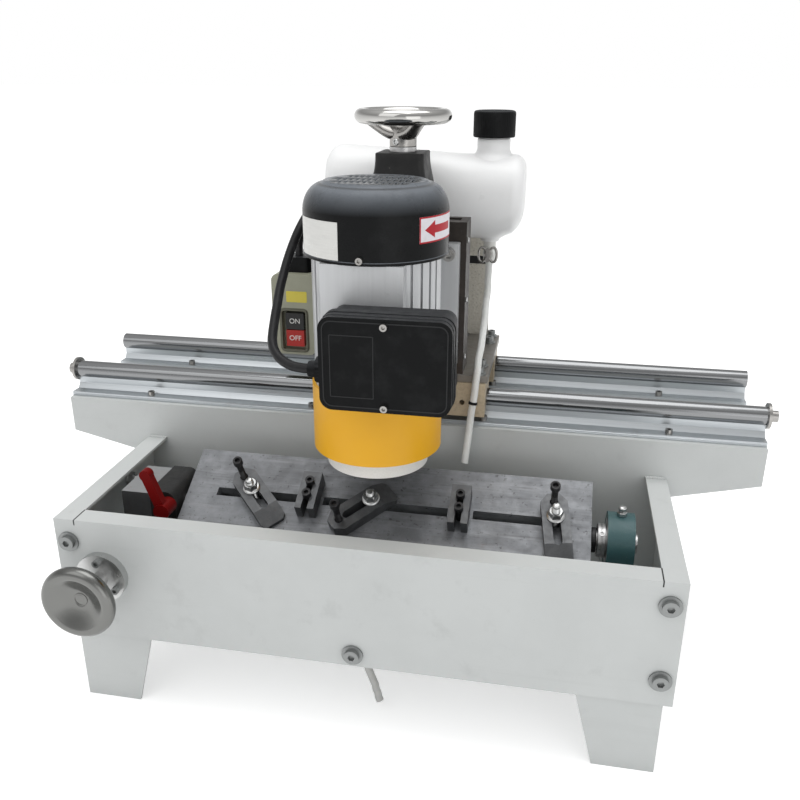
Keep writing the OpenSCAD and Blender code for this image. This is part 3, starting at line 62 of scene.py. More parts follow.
def set_inputs(node, values):
    for key, value in values.items():
        node.inputs[key].default_value = value


# Camera, at the photograph's viewing angle

CAMERA_PLACE = (172.06, -656.49, 624.6)
CAMERA_YAW = radians(10.82)
CAMERA_PITCH = radians(21.2)
CAMERA_ROLL = radians(0.13)
CAMERA_FOCUS_PX = 843.6
IMAGE_PX = 800
SENSOR_MM = 36.0


def make_camera():
    data = bpy.data.cameras.new("camera")
    data.sensor_width = SENSOR_MM
    data.lens = CAMERA_FOCUS_PX / IMAGE_PX * SENSOR_MM
    data.clip_end = 50
    cam = add_object("camera", data)
    cp, sp = cos(CAMERA_PITCH), sin(CAMERA_PITCH)
    forward = Vector((-sin(CAMERA_YAW) * cp, cos(CAMERA_YAW) * cp, -sp))
    right = Vector((cos(CAMERA_YAW), sin(CAMERA_YAW), 0))
    up = right.cross(forward)
    cr, sr = cos(CAMERA_ROLL), sin(CAMERA_ROLL)
    axes = Matrix((cr * right + sr * up, cr * up - sr * right, -forward)).transposed()
    cam.matrix_world = Matrix.Translation(at(*CAMERA_PLACE)) @ axes.to_4x4()
    scene.camera = cam


make_camera()


# Lights, floor and world

# Name, place, size and power of each lamp
LAMPS = [
    ("key", (-0.9, -1.5, 1.9), 1.6, 8),
    ("fill", (1.3, -1.9, 0.7), 1.4, 5.5),
    ("top", (0.1, 0.2, 2.4), 1.7, 19),
]
LAMP_TARGET = (0, 0, 0.2)


def add_area(name, place, size, power):
    data = bpy.data.lights.new(name, "AREA")
    data.shape = "SQUARE"
    data.size = size
    data.energy = power
    lamp = add_object(name, data)
    lamp.location = place
    lamp.rotation_euler = (Vector(LAMP_TARGET) - Vector(place)).to_track_quat("-Z", "Y").to_euler()


# Brightness of the surroundings by height, from the horizon (0) to straight up (1)
SKY = [(0.0, 1.0), (0.10, 1.0), (0.24, 0.70), (0.42, 0.45), (0.65, 0.60), (1.0, 0.95)]


def make_world():
    world = bpy.data.worlds.new("studio")
    scene.world = world
    world.use_nodes = True
    nodes, links = world.node_tree.nodes, world.node_tree.links
    coord = nodes.new("ShaderNodeTexCoord")
    split = nodes.new("ShaderNodeSeparateXYZ")
    ramp = nodes.new("ShaderNodeValToRGB")
    links.new(coord.outputs["Generated"], split.inputs["Vector"])
    links.new(split.outputs["Z"], ramp.inputs["Fac"])
    links.new(ramp.outputs["Color"], nodes["Background"].inputs["Color"])
    while len(ramp.color_ramp.elements) < len(SKY):
        ramp.color_ramp.elements.new(1.0)
    for stop, (place, level) in zip(ramp.color_ramp.elements, SKY):
        stop.position = place
        stop.color = (level, level, level, 1)
    nodes["Background"].inputs["Strength"].default_value = 1.0


FLOOR_HALF = 40.0
FLOOR_LIFT = 0.45


def make_floor():
    mesh = bpy.data.meshes.new("floor")
    h = FLOOR_HALF
    mesh.from_pydata([(-h, -h, 0), (h, -h, 0), (h, h, 0), (-h, h, 0)], [], [(0, 1, 2, 3)])
    floor = add_object("floor", mesh)
    m = bpy.data.materials.new("floor")
    m.use_nodes = True
    shader = m.node_tree.nodes["Principled BSDF"]
    set_inputs(shader, {"Base Color": (0.9, 0.9, 0.9, 1), "Roughness": 0.9, "Specular IOR Level": 0.0,
                        "Emission Color": (1, 1, 1, 1)})
    # The floor is lifted to white where it is seen, also in a mirror, and lights nothing
    nodes, links = m.node_tree.nodes, m.node_tree.links
    path = nodes.new("ShaderNodeLightPath")
    seen = path.outputs["Is Camera Ray"]
    for ray in ("Is Glossy Ray", "Is Transmission Ray"):
        either = nodes.new("ShaderNodeMath")
        either.operation = "MAXIMUM"
        links.new(seen, either.inputs[0])
        links.new(path.outputs[ray], either.inputs[1])
        seen = either.outputs[0]
    lift = nodes.new("ShaderNodeMath")
    lift.operation = "MULTIPLY"
    lift.inputs[1].default_value = FLOOR_LIFT
    links.new(seen, lift.inputs[0])
    links.new(lift.outputs[0], shader.inputs["Emission Strength"])
    mesh.materials.append(m)


make_world()
make_floor()
for lamp in LAMPS:
    add_area(*lamp)


# Materials: a tint is (scale per metre, low, high, amount, colour)

NOISES = {"rough": {"Detail": 5.0, "Roughness": 0.65}, "noise": {"Detail": 2.0, "Roughness": 0.5}}
# How deep light goes into the milky plastics, in metres
GLOW_DEPTH = 0.012


def rgba(c):
    return (c[0], c[1], c[2], 1)


class Surface:
    """A Principled material built up from procedural layers in object coordinates."""

    def __init__(self, name, color, rough, metal=0.0, specular=0.5, subsurface=0.0):
        self.m = bpy.data.materials.new(name)
        self.m.use_nodes = True
        self.nodes = self.m.node_tree.nodes
        self.links = self.m.node_tree.links
        self.shader = self.nodes["Principled BSDF"]
        self.color = rgba(color)
        self.color_link = None
        self.bump_link = None
        set_inputs(self.shader, {"Base Color": self.color, "Roughness": rough, "Metallic": metal,
                                 "Specular IOR Level": specular})
        if subsurface:
            set_inputs(self.shader, {"Subsurface Weight": subsurface, "Subsurface Radius": (GLOW_DEPTH,) * 3})
        self.coord = self.nodes.new("ShaderNodeTexCoord")

    def texture(self, kind, scale):
        """The grey output of a noise or cell texture, stretched by a scale per axis."""
        mapping = self.nodes.new("ShaderNodeMapping")
        mapping.inputs["Scale"].default_value = scale if isinstance(scale, tuple) else (scale,) * 3
        self.links.new(self.coord.outputs["Object"], mapping.inputs["Vector"])
        if kind == "cells":
            tex = self.nodes.new("ShaderNodeTexVoronoi")
            out = tex.outputs["Distance"]
        else:
            tex = self.nodes.new("ShaderNodeTexNoise")
            set_inputs(tex, NOISES[kind])
            out = tex.outputs["Fac"]
        tex.inputs["Scale"].default_value = 1.0
        self.links.new(mapping.outputs["Vector"], tex.inputs["Vector"])
        return out

    def ranged(self, value, low, high, to_low, to_high):
        """A value carried from one range to another."""
        node = self.nodes.new("ShaderNodeMapRange")
        self.links.new(value, node.inputs["Value"])
        set_inputs(node, {"From Min": low, "From Max": high, "To Min": to_low, "To Max": to_high})
        return node.outputs["Result"]

    def over(self, factor, color):
        """A colour laid over what is there, by a factor."""
        mix = self.nodes.new("ShaderNodeMix")
        mix.data_type = "RGBA"
        if self.color_link:
            self.links.new(self.color_link, mix.inputs["A"])
        else:
            mix.inputs["A"].default_value = self.color
        mix.inputs["B"].default_value = rgba(color)
        self.links.new(factor, mix.inputs["Factor"])
        self.color_link = mix.outputs["Result"]
        self.links.new(self.color_link, self.shader.inputs["Base Color"])

    def tint(self, scale, low, high, amount, color, kind="rough"):
        self.over(self.ranged(self.texture(kind, scale), low, high, 0, amount), color)
        return self

    def corner_shade(self, reach, amount, color):
        """Painted shade: the colour darkened where faces meet, by ambient occlusion."""
        node = self.nodes.new("ShaderNodeAmbientOcclusion")
        node.inputs["Distance"].default_value = reach
        node.samples = 4
        self.over(self.ranged(node.outputs["AO"], 0.25, 0.95, amount, 0), color)
        return self

    def painted_top_light(self, amount, color, low=0.7, high=0.95):
        """Painted light: a colour on faces that look up, from one height of the normal to another, for how they
        catch the light from above.
        """
        geometry = self.nodes.new("ShaderNodeNewGeometry")
        split = self.nodes.new("ShaderNodeSeparateXYZ")
        self.links.new(geometry.outputs["Normal"], split.inputs["Vector"])
        self.over(self.ranged(split.outputs["Z"], low, high, 0, amount), color)
        return self

    def gloss(self, scale, low, high):
        value = self.ranged(self.texture("rough", scale), 0.3, 0.7, low, high)
        self.links.new(value, self.shader.inputs["Roughness"])
        return self

    def bump(self, scale, height, strength=1.0, kind="rough"):
        node = self.nodes.new("ShaderNodeBump")
        set_inputs(node, {"Distance": height, "Strength": strength})
        self.links.new(self.texture(kind, scale), node.inputs["Height"])
        if self.bump_link:
            self.links.new(self.bump_link, node.inputs["Normal"])
        self.bump_link = node.outputs["Normal"]
        self.links.new(self.bump_link, self.shader.inputs["Normal"])
        return self


DUST = (0.3, 0.29, 0.27)
RUST = (0.16, 0.075, 0.035)

POWDER = (
    Surface("powder_coat", (0.575, 0.595, 0.59), 0.42)
    .tint(9, 0.42, 0.75, 0.4, (0.48, 0.5, 0.495))
    .tint(26, 0.58, 0.76, 0.4, (0.42, 0.435, 0.43))
    .tint((2.5, 60, 60), 0.6, 0.78, 0.2, (0.43, 0.445, 0.44))
    .tint(230, 0.7, 0.8, 0.35, DUST)
    # painted shade: the paint darkened where faces meet, by ambient occlusion
    .corner_shade(0.02, 0.3, (0.33, 0.35, 0.345))
    .gloss(25, 0.34, 0.52).bump(1400, 0.00005, 0.6, "noise"))
ROD = (
    Surface("rail_steel", (0.245, 0.25, 0.255), 0.13, 1.0)
    .tint((3, 500, 500), 0.45, 0.75, 0.35, (0.175, 0.175, 0.18))
    .gloss((6, 300, 300), 0.08, 0.22))
RAIL = (
    Surface("rail_aluminium", (0.53, 0.56, 0.58), 0.34, 0.85)
    .tint((2, 700, 700), 0.4, 0.7, 0.4, (0.42, 0.445, 0.465))
    .tint(40, 0.62, 0.78, 0.3, DUST)
    .gloss((3, 400, 400), 0.26, 0.44).bump((2, 900, 900), 0.00003))
TABLE = (
    Surface("table_steel", (0.175, 0.182, 0.193), 0.46, 0.4)
    .tint(42, 0.4, 0.66, 0.75, (0.275, 0.285, 0.3))
    .tint(15, 0.46, 0.7, 0.55, (0.105, 0.108, 0.114))
    .tint((9, 120, 120), 0.52, 0.72, 0.5, (0.33, 0.34, 0.355))
    .tint((14, 260, 260), 0.54, 0.7, 0.45, (0.09, 0.092, 0.096))
    .tint(210, 0.6, 0.68, 0.75, (0.045, 0.045, 0.046))
    .tint((5, 900, 900), 0.7, 0.8, 0.4, (0.42, 0.43, 0.44))
    .tint(60, 0.66, 0.8, 0.3, RUST)
    .gloss(90, 0.36, 0.6).bump(420, 0.0001))
DARK = (
    Surface("dark_steel", (0.105, 0.108, 0.112), 0.42, 0.65)
    .tint(70, 0.42, 0.7, 0.5, (0.19, 0.195, 0.2))
    .tint(500, 0.64, 0.76, 0.45, (0.045, 0.045, 0.046))
    .tint(45, 0.66, 0.8, 0.35, RUST)
    .gloss(160, 0.32, 0.55).bump(700, 0.00007))
GROUND = (
    Surface("ground_steel", (0.225, 0.21, 0.19), 0.42, 0.4)
    .tint((400, 30, 400), 0.4, 0.72, 0.4, (0.19, 0.178, 0.165))
    .tint(80, 0.62, 0.78, 0.4, RUST)
    .gloss(120, 0.3, 0.52).bump((700, 60, 700), 0.00005))
GEAR = (
    Surface("gear_steel", (0.14, 0.142, 0.147), 0.4, 0.7)
    .tint(70, 0.42, 0.72, 0.45, (0.085, 0.086, 0.088))
    # painted highlight: the gear block's top faces a lighter bluish grey, as where they catch the light from
    # above
    .painted_top_light(0.85, (0.42, 0.425, 0.43))
    .tint(90, 0.62, 0.78, 0.35, RUST)
    .gloss(120, 0.3, 0.52).bump(500, 0.00006))
BRIGHT = (
    Surface("bright_steel", (0.5, 0.5, 0.5), 0.32, 1.0)
    .tint(60, 0.4, 0.7, 0.35, (0.36, 0.355, 0.345))
    .gloss(200, 0.24, 0.42).bump(900, 0.00003))
ZINC = (
    Surface("zinc", (0.56, 0.565, 0.56), 0.3, 1.0)
    .tint(45, 0.42, 0.7, 0.3, (0.44, 0.445, 0.44))
    .tint(400, 0.66, 0.78, 0.35, (0.22, 0.22, 0.21))
    .gloss(60, 0.26, 0.36))
DULL = (
    Surface("dull_zinc", (0.27, 0.28, 0.278), 0.4, 0.7)
    .tint(60, 0.42, 0.72, 0.35, (0.23, 0.24, 0.236))
    .tint(500, 0.66, 0.78, 0.35, (0.1, 0.1, 0.095))
    .gloss(80, 0.34, 0.46))
OXIDE = (
    Surface("black_oxide", (0.022, 0.022, 0.023), 0.4, 0.5)
    .tint(240, 0.5, 0.75, 0.5, (0.06, 0.06, 0.062))
    .gloss(300, 0.3, 0.5).bump(1500, 0.00003))
CHROME = (
    Surface("chrome", (0.47, 0.465, 0.45), 0.1, 1.0)
    .tint(25, 0.5, 0.75, 0.25, (0.42, 0.41, 0.39))
    .gloss(40, 0.06, 0.16))
NICKEL = (
    Surface("satin_nickel", (0.36, 0.35, 0.335), 0.27, 1.0)
    .tint(22, 0.42, 0.72, 0.35, (0.26, 0.25, 0.24))
    .tint(300, 0.68, 0.78, 0.3, (0.26, 0.24, 0.22))
    .gloss(60, 0.22, 0.36).bump(900, 0.00002))
KNOB_STEEL = (
    Surface("knob_steel", (0.185, 0.187, 0.18), 0.28, 1.0)
    .tint(14, 0.42, 0.72, 0.3, (0.14, 0.14, 0.135))
    .gloss(30, 0.17, 0.27))
BLACK = (
    Surface("black_plastic", (0.006, 0.0064, 0.0068), 0.4, specular=0.09)
    # painted highlight: the black plastic's top faces lighter and bluish, as where they catch the light from
    # above
    .painted_top_light(0.8, (0.038, 0.04, 0.043), 0.2, 0.85)
    .tint(50, 0.5, 0.78, 0.4, (0.026, 0.027, 0.028))
    .tint(400, 0.7, 0.8, 0.3, DUST)
    .gloss(90, 0.32, 0.5).bump(1800, 0.00004, kind="noise"))
DOME = (
    Surface("dome_black", (0.006, 0.0064, 0.0068), 0.34, specular=0.11)
    # painted highlight: the dome's shoulder lighter and bluish where it catches the light from above, then a
    # dimmer grey on the flat top
    .painted_top_light(1.0, (0.15, 0.164, 0.182), 0.1, 0.8)
    .painted_top_light(0.8, (0.034, 0.035, 0.034), 0.9, 0.99)
    .tint(50, 0.5, 0.78, 0.3, (0.026, 0.027, 0.028))
    .tint(400, 0.7, 0.8, 0.3, DUST)
    .gloss(60, 0.24, 0.34).bump(1400, 0.00004, kind="noise"))
CASTING = (
    Surface("black_cast", (0.019, 0.019, 0.019), 0.45, specular=0.25)
    .tint(60, 0.45, 0.75, 0.45, (0.038, 0.037, 0.035))
    .tint(220, 0.66, 0.78, 0.45, DUST)
    .gloss(80, 0.34, 0.58).bump(260, 0.00015))
SLIDE = (
    Surface("slide_brown", (0.036, 0.031, 0.028), 0.5, specular=0.12)
    .tint(60, 0.45, 0.75, 0.5, (0.068, 0.055, 0.047))
    .tint(300, 0.66, 0.78, 0.4, DUST)
    .gloss(80, 0.34, 0.56).bump(500, 0.0001))
ALUMINIUM = (
    Surface("motor_aluminium", (0.53, 0.54, 0.55), 0.42, 0.6)
    .tint((260, 260, 6), 0.4, 0.7, 0.22, (0.4, 0.405, 0.41))
    .tint(90, 0.62, 0.78, 0.35, (0.24, 0.235, 0.225))
    .gloss((200, 200, 8), 0.34, 0.54).bump((900, 900, 40), 0.00005))
YELLOW = (
    Surface("guard_yellow", (0.82, 0.42, 0.012), 0.36, specular=0.35)
    .tint(22, 0.42, 0.75, 0.45, (0.77, 0.375, 0.013))
    .tint(300, 0.7, 0.8, 0.4, DUST)
    .gloss(50, 0.28, 0.46).bump(700, 0.00008, kind="noise"))
ABRASIVE = (
    Surface("abrasive", (0.86, 0.85, 0.815), 0.92, specular=0.2)
    .tint(700, 0.4, 0.7, 0.6, (0.75, 0.74, 0.71))
    .tint(60, 0.6, 0.8, 0.35, (0.62, 0.6, 0.565))
    .bump(1100, 0.0004))
SWITCH = (
    Surface("switch_grey", (0.325, 0.33, 0.25), 0.48)
    .tint(40, 0.45, 0.75, 0.35, (0.25, 0.255, 0.2))
    .tint(320, 0.7, 0.8, 0.35, DUST)
    .gloss(80, 0.4, 0.56).bump(1500, 0.00004, kind="noise"))
BEZEL = (
    Surface("bezel_olive", (0.13, 0.13, 0.098), 0.48, specular=0.3)
    .tint(60, 0.45, 0.75, 0.35, (0.095, 0.095, 0.072))
    .bump(1500, 0.00004, kind="noise"))
# painted highlight: the cover's raised lines lighter than the black plastic, as where its edges catch the light
COVER_LINE_HIGHLIGHT = (
    Surface("cover_line_highlight", (0.027, 0.028, 0.029), 0.45, specular=0.15)
    .tint(200, 0.45, 0.75, 0.35, (0.018, 0.019, 0.02)))
KEY_BLACK = (
    Surface("button_black", (0.014, 0.014, 0.014), 0.34, specular=0.3)
    .tint(120, 0.55, 0.78, 0.35, (0.05, 0.05, 0.05))
    .bump(1500, 0.00003, kind="noise"))
KEY_RED = (
    Surface("button_red", (0.42, 0.02, 0.015), 0.34, specular=0.3)
    .tint(120, 0.55, 0.78, 0.35, (0.36, 0.015, 0.012))
    .bump(1500, 0.00003, kind="noise"))
TANK = (
    Surface("tank_plastic", (0.86, 0.865, 0.865), 0.33, subsurface=0.35)
    .tint(12, 0.42, 0.75, 0.3, (0.78, 0.785, 0.785))
    .gloss(30, 0.26, 0.42).bump(90, 0.0004, 0.5, "noise"))
HOSE = (
    Surface("clear_hose", (0.78, 0.79, 0.77), 0.3, subsurface=0.4)
    .tint(60, 0.45, 0.75, 0.4, (0.66, 0.67, 0.64))
    .gloss(60, 0.22, 0.4))
GREY_HOSE = (
    Surface("grey_hose", (0.5, 0.5, 0.485), 0.4)
    .tint(60, 0.45, 0.75, 0.45, (0.36, 0.36, 0.35))
    .gloss(60, 0.32, 0.48))
CABLE = (
    Surface("cord_black", (0.012, 0.012, 0.013), 0.42, specular=0.25)
    .tint(90, 0.5, 0.78, 0.45, (0.04, 0.04, 0.041))
    .gloss(90, 0.34, 0.52).bump(900, 0.00004, kind="noise"))
TAP = (
    Surface("tap_plastic", (0.74, 0.74, 0.715), 0.38)
    .tint(70, 0.45, 0.75, 0.35, (0.62, 0.62, 0.6))
    .bump(1200, 0.00004, kind="noise"))
HAMMER = (
    Surface("hammertone", (0.58, 0.55, 0.475), 0.42, 0.2)
    .tint(320, 0.2, 0.55, 0.55, (0.62, 0.6, 0.54), "cells")
    .tint(520, 0.56, 0.68, 0.6, (0.2, 0.185, 0.155))
    .gloss(200, 0.32, 0.52).bump(320, 0.0003, kind="cells"))
GREEN = (
    Surface("pillow_paint", (0.034, 0.092, 0.099), 0.36)
    .tint(60, 0.45, 0.75, 0.45, (0.035, 0.09, 0.085))
    .tint(260, 0.68, 0.8, 0.45, DUST)
    .gloss(80, 0.28, 0.5).bump(300, 0.0002))
RED = (
    Surface("lever_red", (0.15, 0.005, 0.005), 0.4, specular=0.06)
    .tint(90, 0.45, 0.75, 0.4, (0.115, 0.007, 0.007))
    .gloss(110, 0.28, 0.46).bump(1200, 0.00005, kind="noise"))
BLOCKS = (
    Surface("block_alloy", (0.56, 0.46, 0.32), 0.42, 0.2)
    .tint(260, 0.42, 0.66, 0.45, (0.32, 0.26, 0.18))
    .tint(700, 0.6, 0.7, 0.55, (0.6, 0.57, 0.5))
    .gloss(150, 0.3, 0.48).bump(600, 0.00005))
BRASS = (
    Surface("nut_brass", (0.55, 0.38, 0.13), 0.34, 1.0)
    .tint(90, 0.45, 0.75, 0.4, (0.4, 0.26, 0.08)))
COPPER = (
    Surface("winding", (0.42, 0.2, 0.1), 0.45, 0.6)
    .tint(300, 0.45, 0.75, 0.5, (0.25, 0.11, 0.05)))
PLATE = (
    Surface("blank_plate", (0.62, 0.62, 0.6), 0.34, 0.8)
    .tint((30, 30, 600), 0.42, 0.72, 0.4, (0.48, 0.48, 0.465))
    .gloss(200, 0.26, 0.42))
STICKER = (
    Surface("sticker_white", (0.76, 0.74, 0.78), 0.42)
    .tint(120, 0.5, 0.78, 0.4, (0.58, 0.56, 0.53)))
ARROW = (
    Surface("sticker_red", (0.44, 0.018, 0.028), 0.46, specular=0.2)
    .tint(120, 0.5, 0.78, 0.35, (0.34, 0.014, 0.02)))
LABEL = (
    Surface("sticker_yellow", (0.66, 0.56, 0.07), 0.44)
    .tint(120, 0.5, 0.78, 0.4, (0.54, 0.45, 0.05)))
LETTER = (
    Surface("letter_white", (0.8, 0.8, 0.78), 0.45)
    .tint(200, 0.5, 0.78, 0.3, (0.66, 0.66, 0.64)))

# The CAD nodes that have each material
FINISH = {
    POWDER: "front_panel left_side_panel right_side_panel tray_floor rail_beam legs",
    ZINC: "clamp_screws_1 clamp_screws_2 clamp_screws_3 handwheel_flange",
    NICKEL: "head_screws rail_screws",
    DULL: "frame_bolts carriage_bolts",
    OXIDE: "stop_screws",
    RAIL: "rail_supports",
    ROD: "rail_rods",
    GREEN: "pillow_block",
    BRIGHT: "pillow_bearing worm_shaft table_shafts lead_screw motor_bearings motor_shaft",
    GROUND: "carriage_plate",
    GEAR: "gear_block",
    CASTING: "clamp_housing column",
    RED: "lock_lever",
    KNOB_STEEL: "front_handwheel",
    CHROME: "top_handwheel",
    TABLE: "table_plate",
    DARK: "clamp_bar_1 clamp_bar_2 clamp_bar_3 stop_block_1 stop_block_2",
    BLOCKS: "bearing_blocks",
    HAMMER: "tank_panel",
    TANK: "tank",
    TAP: "tap_body tap_handle",
    DOME: "fan_cover",
    BLACK: "tank_cap terminal_box terminal_cover cable_glands",
    SLIDE: "slide_plate",
    BRASS: "feed_nut",
    ALUMINIUM: "motor_housing end_shields",
    COPPER: "stator",
    YELLOW: "wheel_guard",
    SWITCH: "switch_box",
    KEY_BLACK: "on_button",
    KEY_RED: "off_button",
    ABRASIVE: "grinding_wheel",
    CABLE: "motor_cable",
    HOSE: "water_hose",
    GREY_HOSE: "drain_hose",
}
for surface, names in FINISH.items():
    for name in names.split():
        for s in NODES[name].material_slots:
            s.material = surface.m

# Width in mm of the rounded edge on each CAD node
EDGES = {
    2.5: "column cable_glands",
    1.4: "front_panel left_side_panel right_side_panel rail_beam legs switch_box",
    0.8: "clamp_bar_1 clamp_bar_2 clamp_bar_3 stop_block_1 stop_block_2 clamp_housing pillow_block "
         "terminal_cover terminal_box slide_plate on_button off_button grinding_wheel table_plate lock_lever "
         "wheel_guard",
    0.5: "gear_block carriage_plate bearing_blocks tank_panel motor_housing rail_supports frame_bolts "
         "handwheel_flange rail_screws carriage_bolts",
}
EDGE_ANGLE = radians(50)


def round_edges(obj, width):
    mod = obj.modifiers.new("rounded", "BEVEL")
    mod.width = width * MM
    mod.segments = 2
    mod.limit_method = "ANGLE"
    mod.angle_limit = EDGE_ANGLE


for width, names in EDGES.items():
    for name in names.split():
        round_edges(NODES[name], width)


# Mesh helpers for the detail pieces; lengths are in mm until a mesh is moved into the row frame

SMOOTH_ANGLE = radians(38)
MERGE_DISTANCE = 1e-6
# A radius below this lies on the axis
ON_AXIS = 1e-6


def piece(name, verts, faces, surface, body, slot, replaces=(), rounded=0.0):
    """A mesh piece in the row frame, in metres, that rides on a body."""
    mesh = bpy.data.meshes.new(name)
    mesh.from_pydata([tuple(v) for v in verts], [], faces)
    bm = bmesh.new()
    bm.from_mesh(mesh)
    bmesh.ops.remove_doubles(bm, verts=bm.verts, dist=MERGE_DISTANCE)
    bmesh.ops.recalc_face_normals(bm, faces=bm.faces)
    bm.to_mesh(mesh)
    bm.free()
    mesh.polygons.foreach_set("use_smooth", [True] * len(mesh.polygons))
    mesh.set_sharp_from_angle(angle=SMOOTH_ANGLE)
    mesh.materials.append(surface.m)
    obj = add_object(name, mesh)
    if rounded:
        round_edges(obj, rounded)
    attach(obj, body)
    if replaces:
        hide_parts(*replaces)
    return obj


def joined(*parts):
    """Several (verts, faces) meshes as one."""
    verts, faces = [], []
    for v, f in parts:
        start = len(verts)
        verts += v
        faces += [tuple(i + start for i in face) for face in f]
    return verts, faces


def placed(x, y, z):
    """The matrix that carries a mesh to a point measured from the front panel's face."""
    return Matrix.Translation(at(x, y, z))


def turned(x, y, z, axis, degrees):
    """The same, with a turn about an axis first."""
    return placed(x, y, z) @ Matrix.Rotation(radians(degrees), 4, axis)


def moved(matrix, mesh):
    """A mesh in mm, placed by a matrix of the row frame."""
    return [matrix @ (Vector(v) * MM) for v in mesh[0]], mesh[1]


def in_place(*parts):
    """Meshes that are already measured from the front panel's face, as one in the row frame."""
    return moved(placed(0, 0, 0), joined(*parts))


def full_turn(count):
    """Angles spaced evenly round a circle."""
    return [2 * pi * k / count for k in range(count)]


def lathe(profile, sides, ribs=0, rib_depth=0.0):
    """A profile of (radius, height) turned round Z and closed. Points given a third value of 1 carry ribs."""
    first, last = profile[0], profile[-1]
    if first[0] and last[0]:
        profile = profile + [first]
    elif first[0]:
        profile = [(0, first[1])] + profile
    elif last[0]:
        profile = profile + [(0, last[1])]
    verts, rows = [], []
    angles = full_turn(sides)
    for r, z, *mark in profile:
        row = []
        for k, a in enumerate(angles[:1] if r < ON_AXIS else angles):
            in_groove = any(mark) and (k * 2 * ribs // sides) % 2
            rr = r - rib_depth if in_groove else r
            row.append(len(verts))
            verts.append((rr * cos(a), rr * sin(a), z))
        rows.append(row)
    faces = []
    for a, b in zip(rows, rows[1:]):
        for k in range(sides):
            n = (k + 1) % sides
            if len(a) == 1 and len(b) > 1:
                faces.append((a[0], b[n], b[k]))
            elif len(b) == 1 and len(a) > 1:
                faces.append((a[k], a[n], b[0]))
            elif len(a) > 1:
                faces.append((a[k], a[n], b[n], b[k]))
    return verts, faces


def skin(rows):
    """A closed tube through rows of points, with flat ends."""
    count = len(rows[0])
    verts = [tuple(p) for row in rows for p in row]
    faces = []
    for i in range(len(rows) - 1):
        for k in range(count):
            n = (k + 1) % count
            faces.append((i * count + k, i * count + n, (i + 1) * count + n, (i + 1) * count + k))
    faces.append(tuple(range(count))[::-1])
    faces.append(tuple((len(rows) - 1) * count + k for k in range(count)))
    return verts, faces


def tube(rows):
    """A surface through rows of points that closes on its first row."""
    n = len(rows[0])
    faces = []
    for i in range(len(rows)):
        j = (i + 1) % len(rows)
        for k in range(n):
            m = (k + 1) % n
            faces.append((i * n + k, i * n + m, j * n + m, j * n + k))
    return [p for row in rows for p in row], faces


def loft(centres, widths, heights, count):
    """A tube of elliptic sections: a half-width and a half-height vector at each centre."""
    return skin([[Vector(c) + cos(a) * Vector(w) + sin(a) * Vector(h) for a in full_turn(count)]
                 for c, w, h in zip(centres, widths, heights)])


def ring_wire(points, radius, sides=10):
    """A round wire along a closed loop of points that lies square to Y."""
    pts = [Vector(p) for p in points]
    across = Vector((0, 1, 0))
    rows = []
    for i, p in enumerate(pts):
        side = (pts[(i + 1) % len(pts)] - pts[i - 1]).cross(across).normalized()
        rows.append([p + radius * (cos(a) * side + sin(a) * across) for a in full_turn(sides)])
    return tube(rows)


def outline(box, r, y, steps=5):
    """Points round a rectangle (x0, z0, x1, z1) with round corners, at one depth."""
    x0, z0, x1, z1 = box
    corners = [(x1 - r, z1 - r), (x0 + r, z1 - r), (x0 + r, z0 + r), (x1 - r, z0 + r)]
    points = []
    for quarter, (cx, cz) in enumerate(corners):
        for i in range(steps + 1):
            a = radians(90 * quarter + 90 * i / steps)
            points.append((cx + r * cos(a), y, cz + r * sin(a)))
    return points


def grown(box, by):
    return (box[0] - by, box[1] - by, box[2] + by, box[3] + by)


def rounded_plate(box, r, y0, y1):
    """A plate that faces the front, with round corners, between two depths."""
    return skin([outline(box, r, y) for y in (y0, y1)])


def frame_ring(outer, width, r, y0, y1):
    """A ring of one width that faces the front, with round corners."""
    inner, r_in = grown(outer, -width), max(r - width, 0.05)
    return tube([outline(outer, r, y0), outline(outer, r, y1),
                 outline(inner, r_in, y1), outline(inner, r_in, y0)])


def arc(cx, cz, rx, rz, a0, a1, steps):
    """Profile points along part of an ellipse, angles in degrees from the radius axis."""
    angles = [radians(a0 + (a1 - a0) * i / steps) for i in range(steps + 1)]
    return [(cx + rx * cos(a), cz + rz * sin(a)) for a in angles]


def thread(r, low, high, pitch=1.25, depth=0.6):
    """Profile of a thread between two heights."""
    out = []
    z = low
    while z < high - pitch / 2:
        out += [(r - depth, z), (r, z + pitch / 2)]
        z += pitch
    return out


def socket_head(r, h, hex_r, deep, shank_r, shank_l):
    """A socket head screw standing on z = 0 with a well for the key and a knurled rim."""
    sides = 48
    return lathe([(0, h - deep), (hex_r, h - deep), (hex_r, h - 0.3), (hex_r + 0.4, h), (r - 0.6, h),
                  (r, h - 0.6, 1), (r, 0.5, 1), (r - 0.3, 0), (shank_r, 0), (shank_r, -shank_l),
                  (0, -shank_l)], sides, sides // 2, 0.12)


def hex_nut(width, z0, z1):
    """A hexagon nut with a chamfered top, cut from a turned blank."""
    r = width / sqrt(3)
    verts, faces = lathe([(4.1, z0), (r, z0), (r, z1 - 1.4), (width / 2 * 0.94, z1), (4.3, z1),
                          (4.1, z1 - 0.4)], 48)
    out = []
    for x, y, z in verts:
        a = atan2(y, x)
        flat = width / 2 / cos((a + pi / 6) % (pi / 3) - pi / 6)
        d = hypot(x, y)
        k = min(d, flat) / d
        out.append((x * k, y * k, z))
    return out, faces


def nut_on(width, bolt_r, bolt_l, washer_r):
    """A washer, a nut and a bolt's end that stand on z = 0."""
    washer = lathe([(bolt_r, 0.1), (washer_r - 0.3, 0.1), (washer_r, 0.4), (washer_r, 1.3),
                    (washer_r - 0.3, 1.6), (bolt_r, 1.6)], 40)
    end = lathe([(bolt_r, 0.1)] + thread(bolt_r, 6, bolt_l - 1, 1.2, 0.4)
                + [(bolt_r - 0.8, bolt_l - 0.4), (bolt_r - 1.2, bolt_l), (0, bolt_l)], 28)
    return joined(washer, hex_nut(width, 1.6, 8), end)


# Front handwheel: a dished knob with a thick round rim

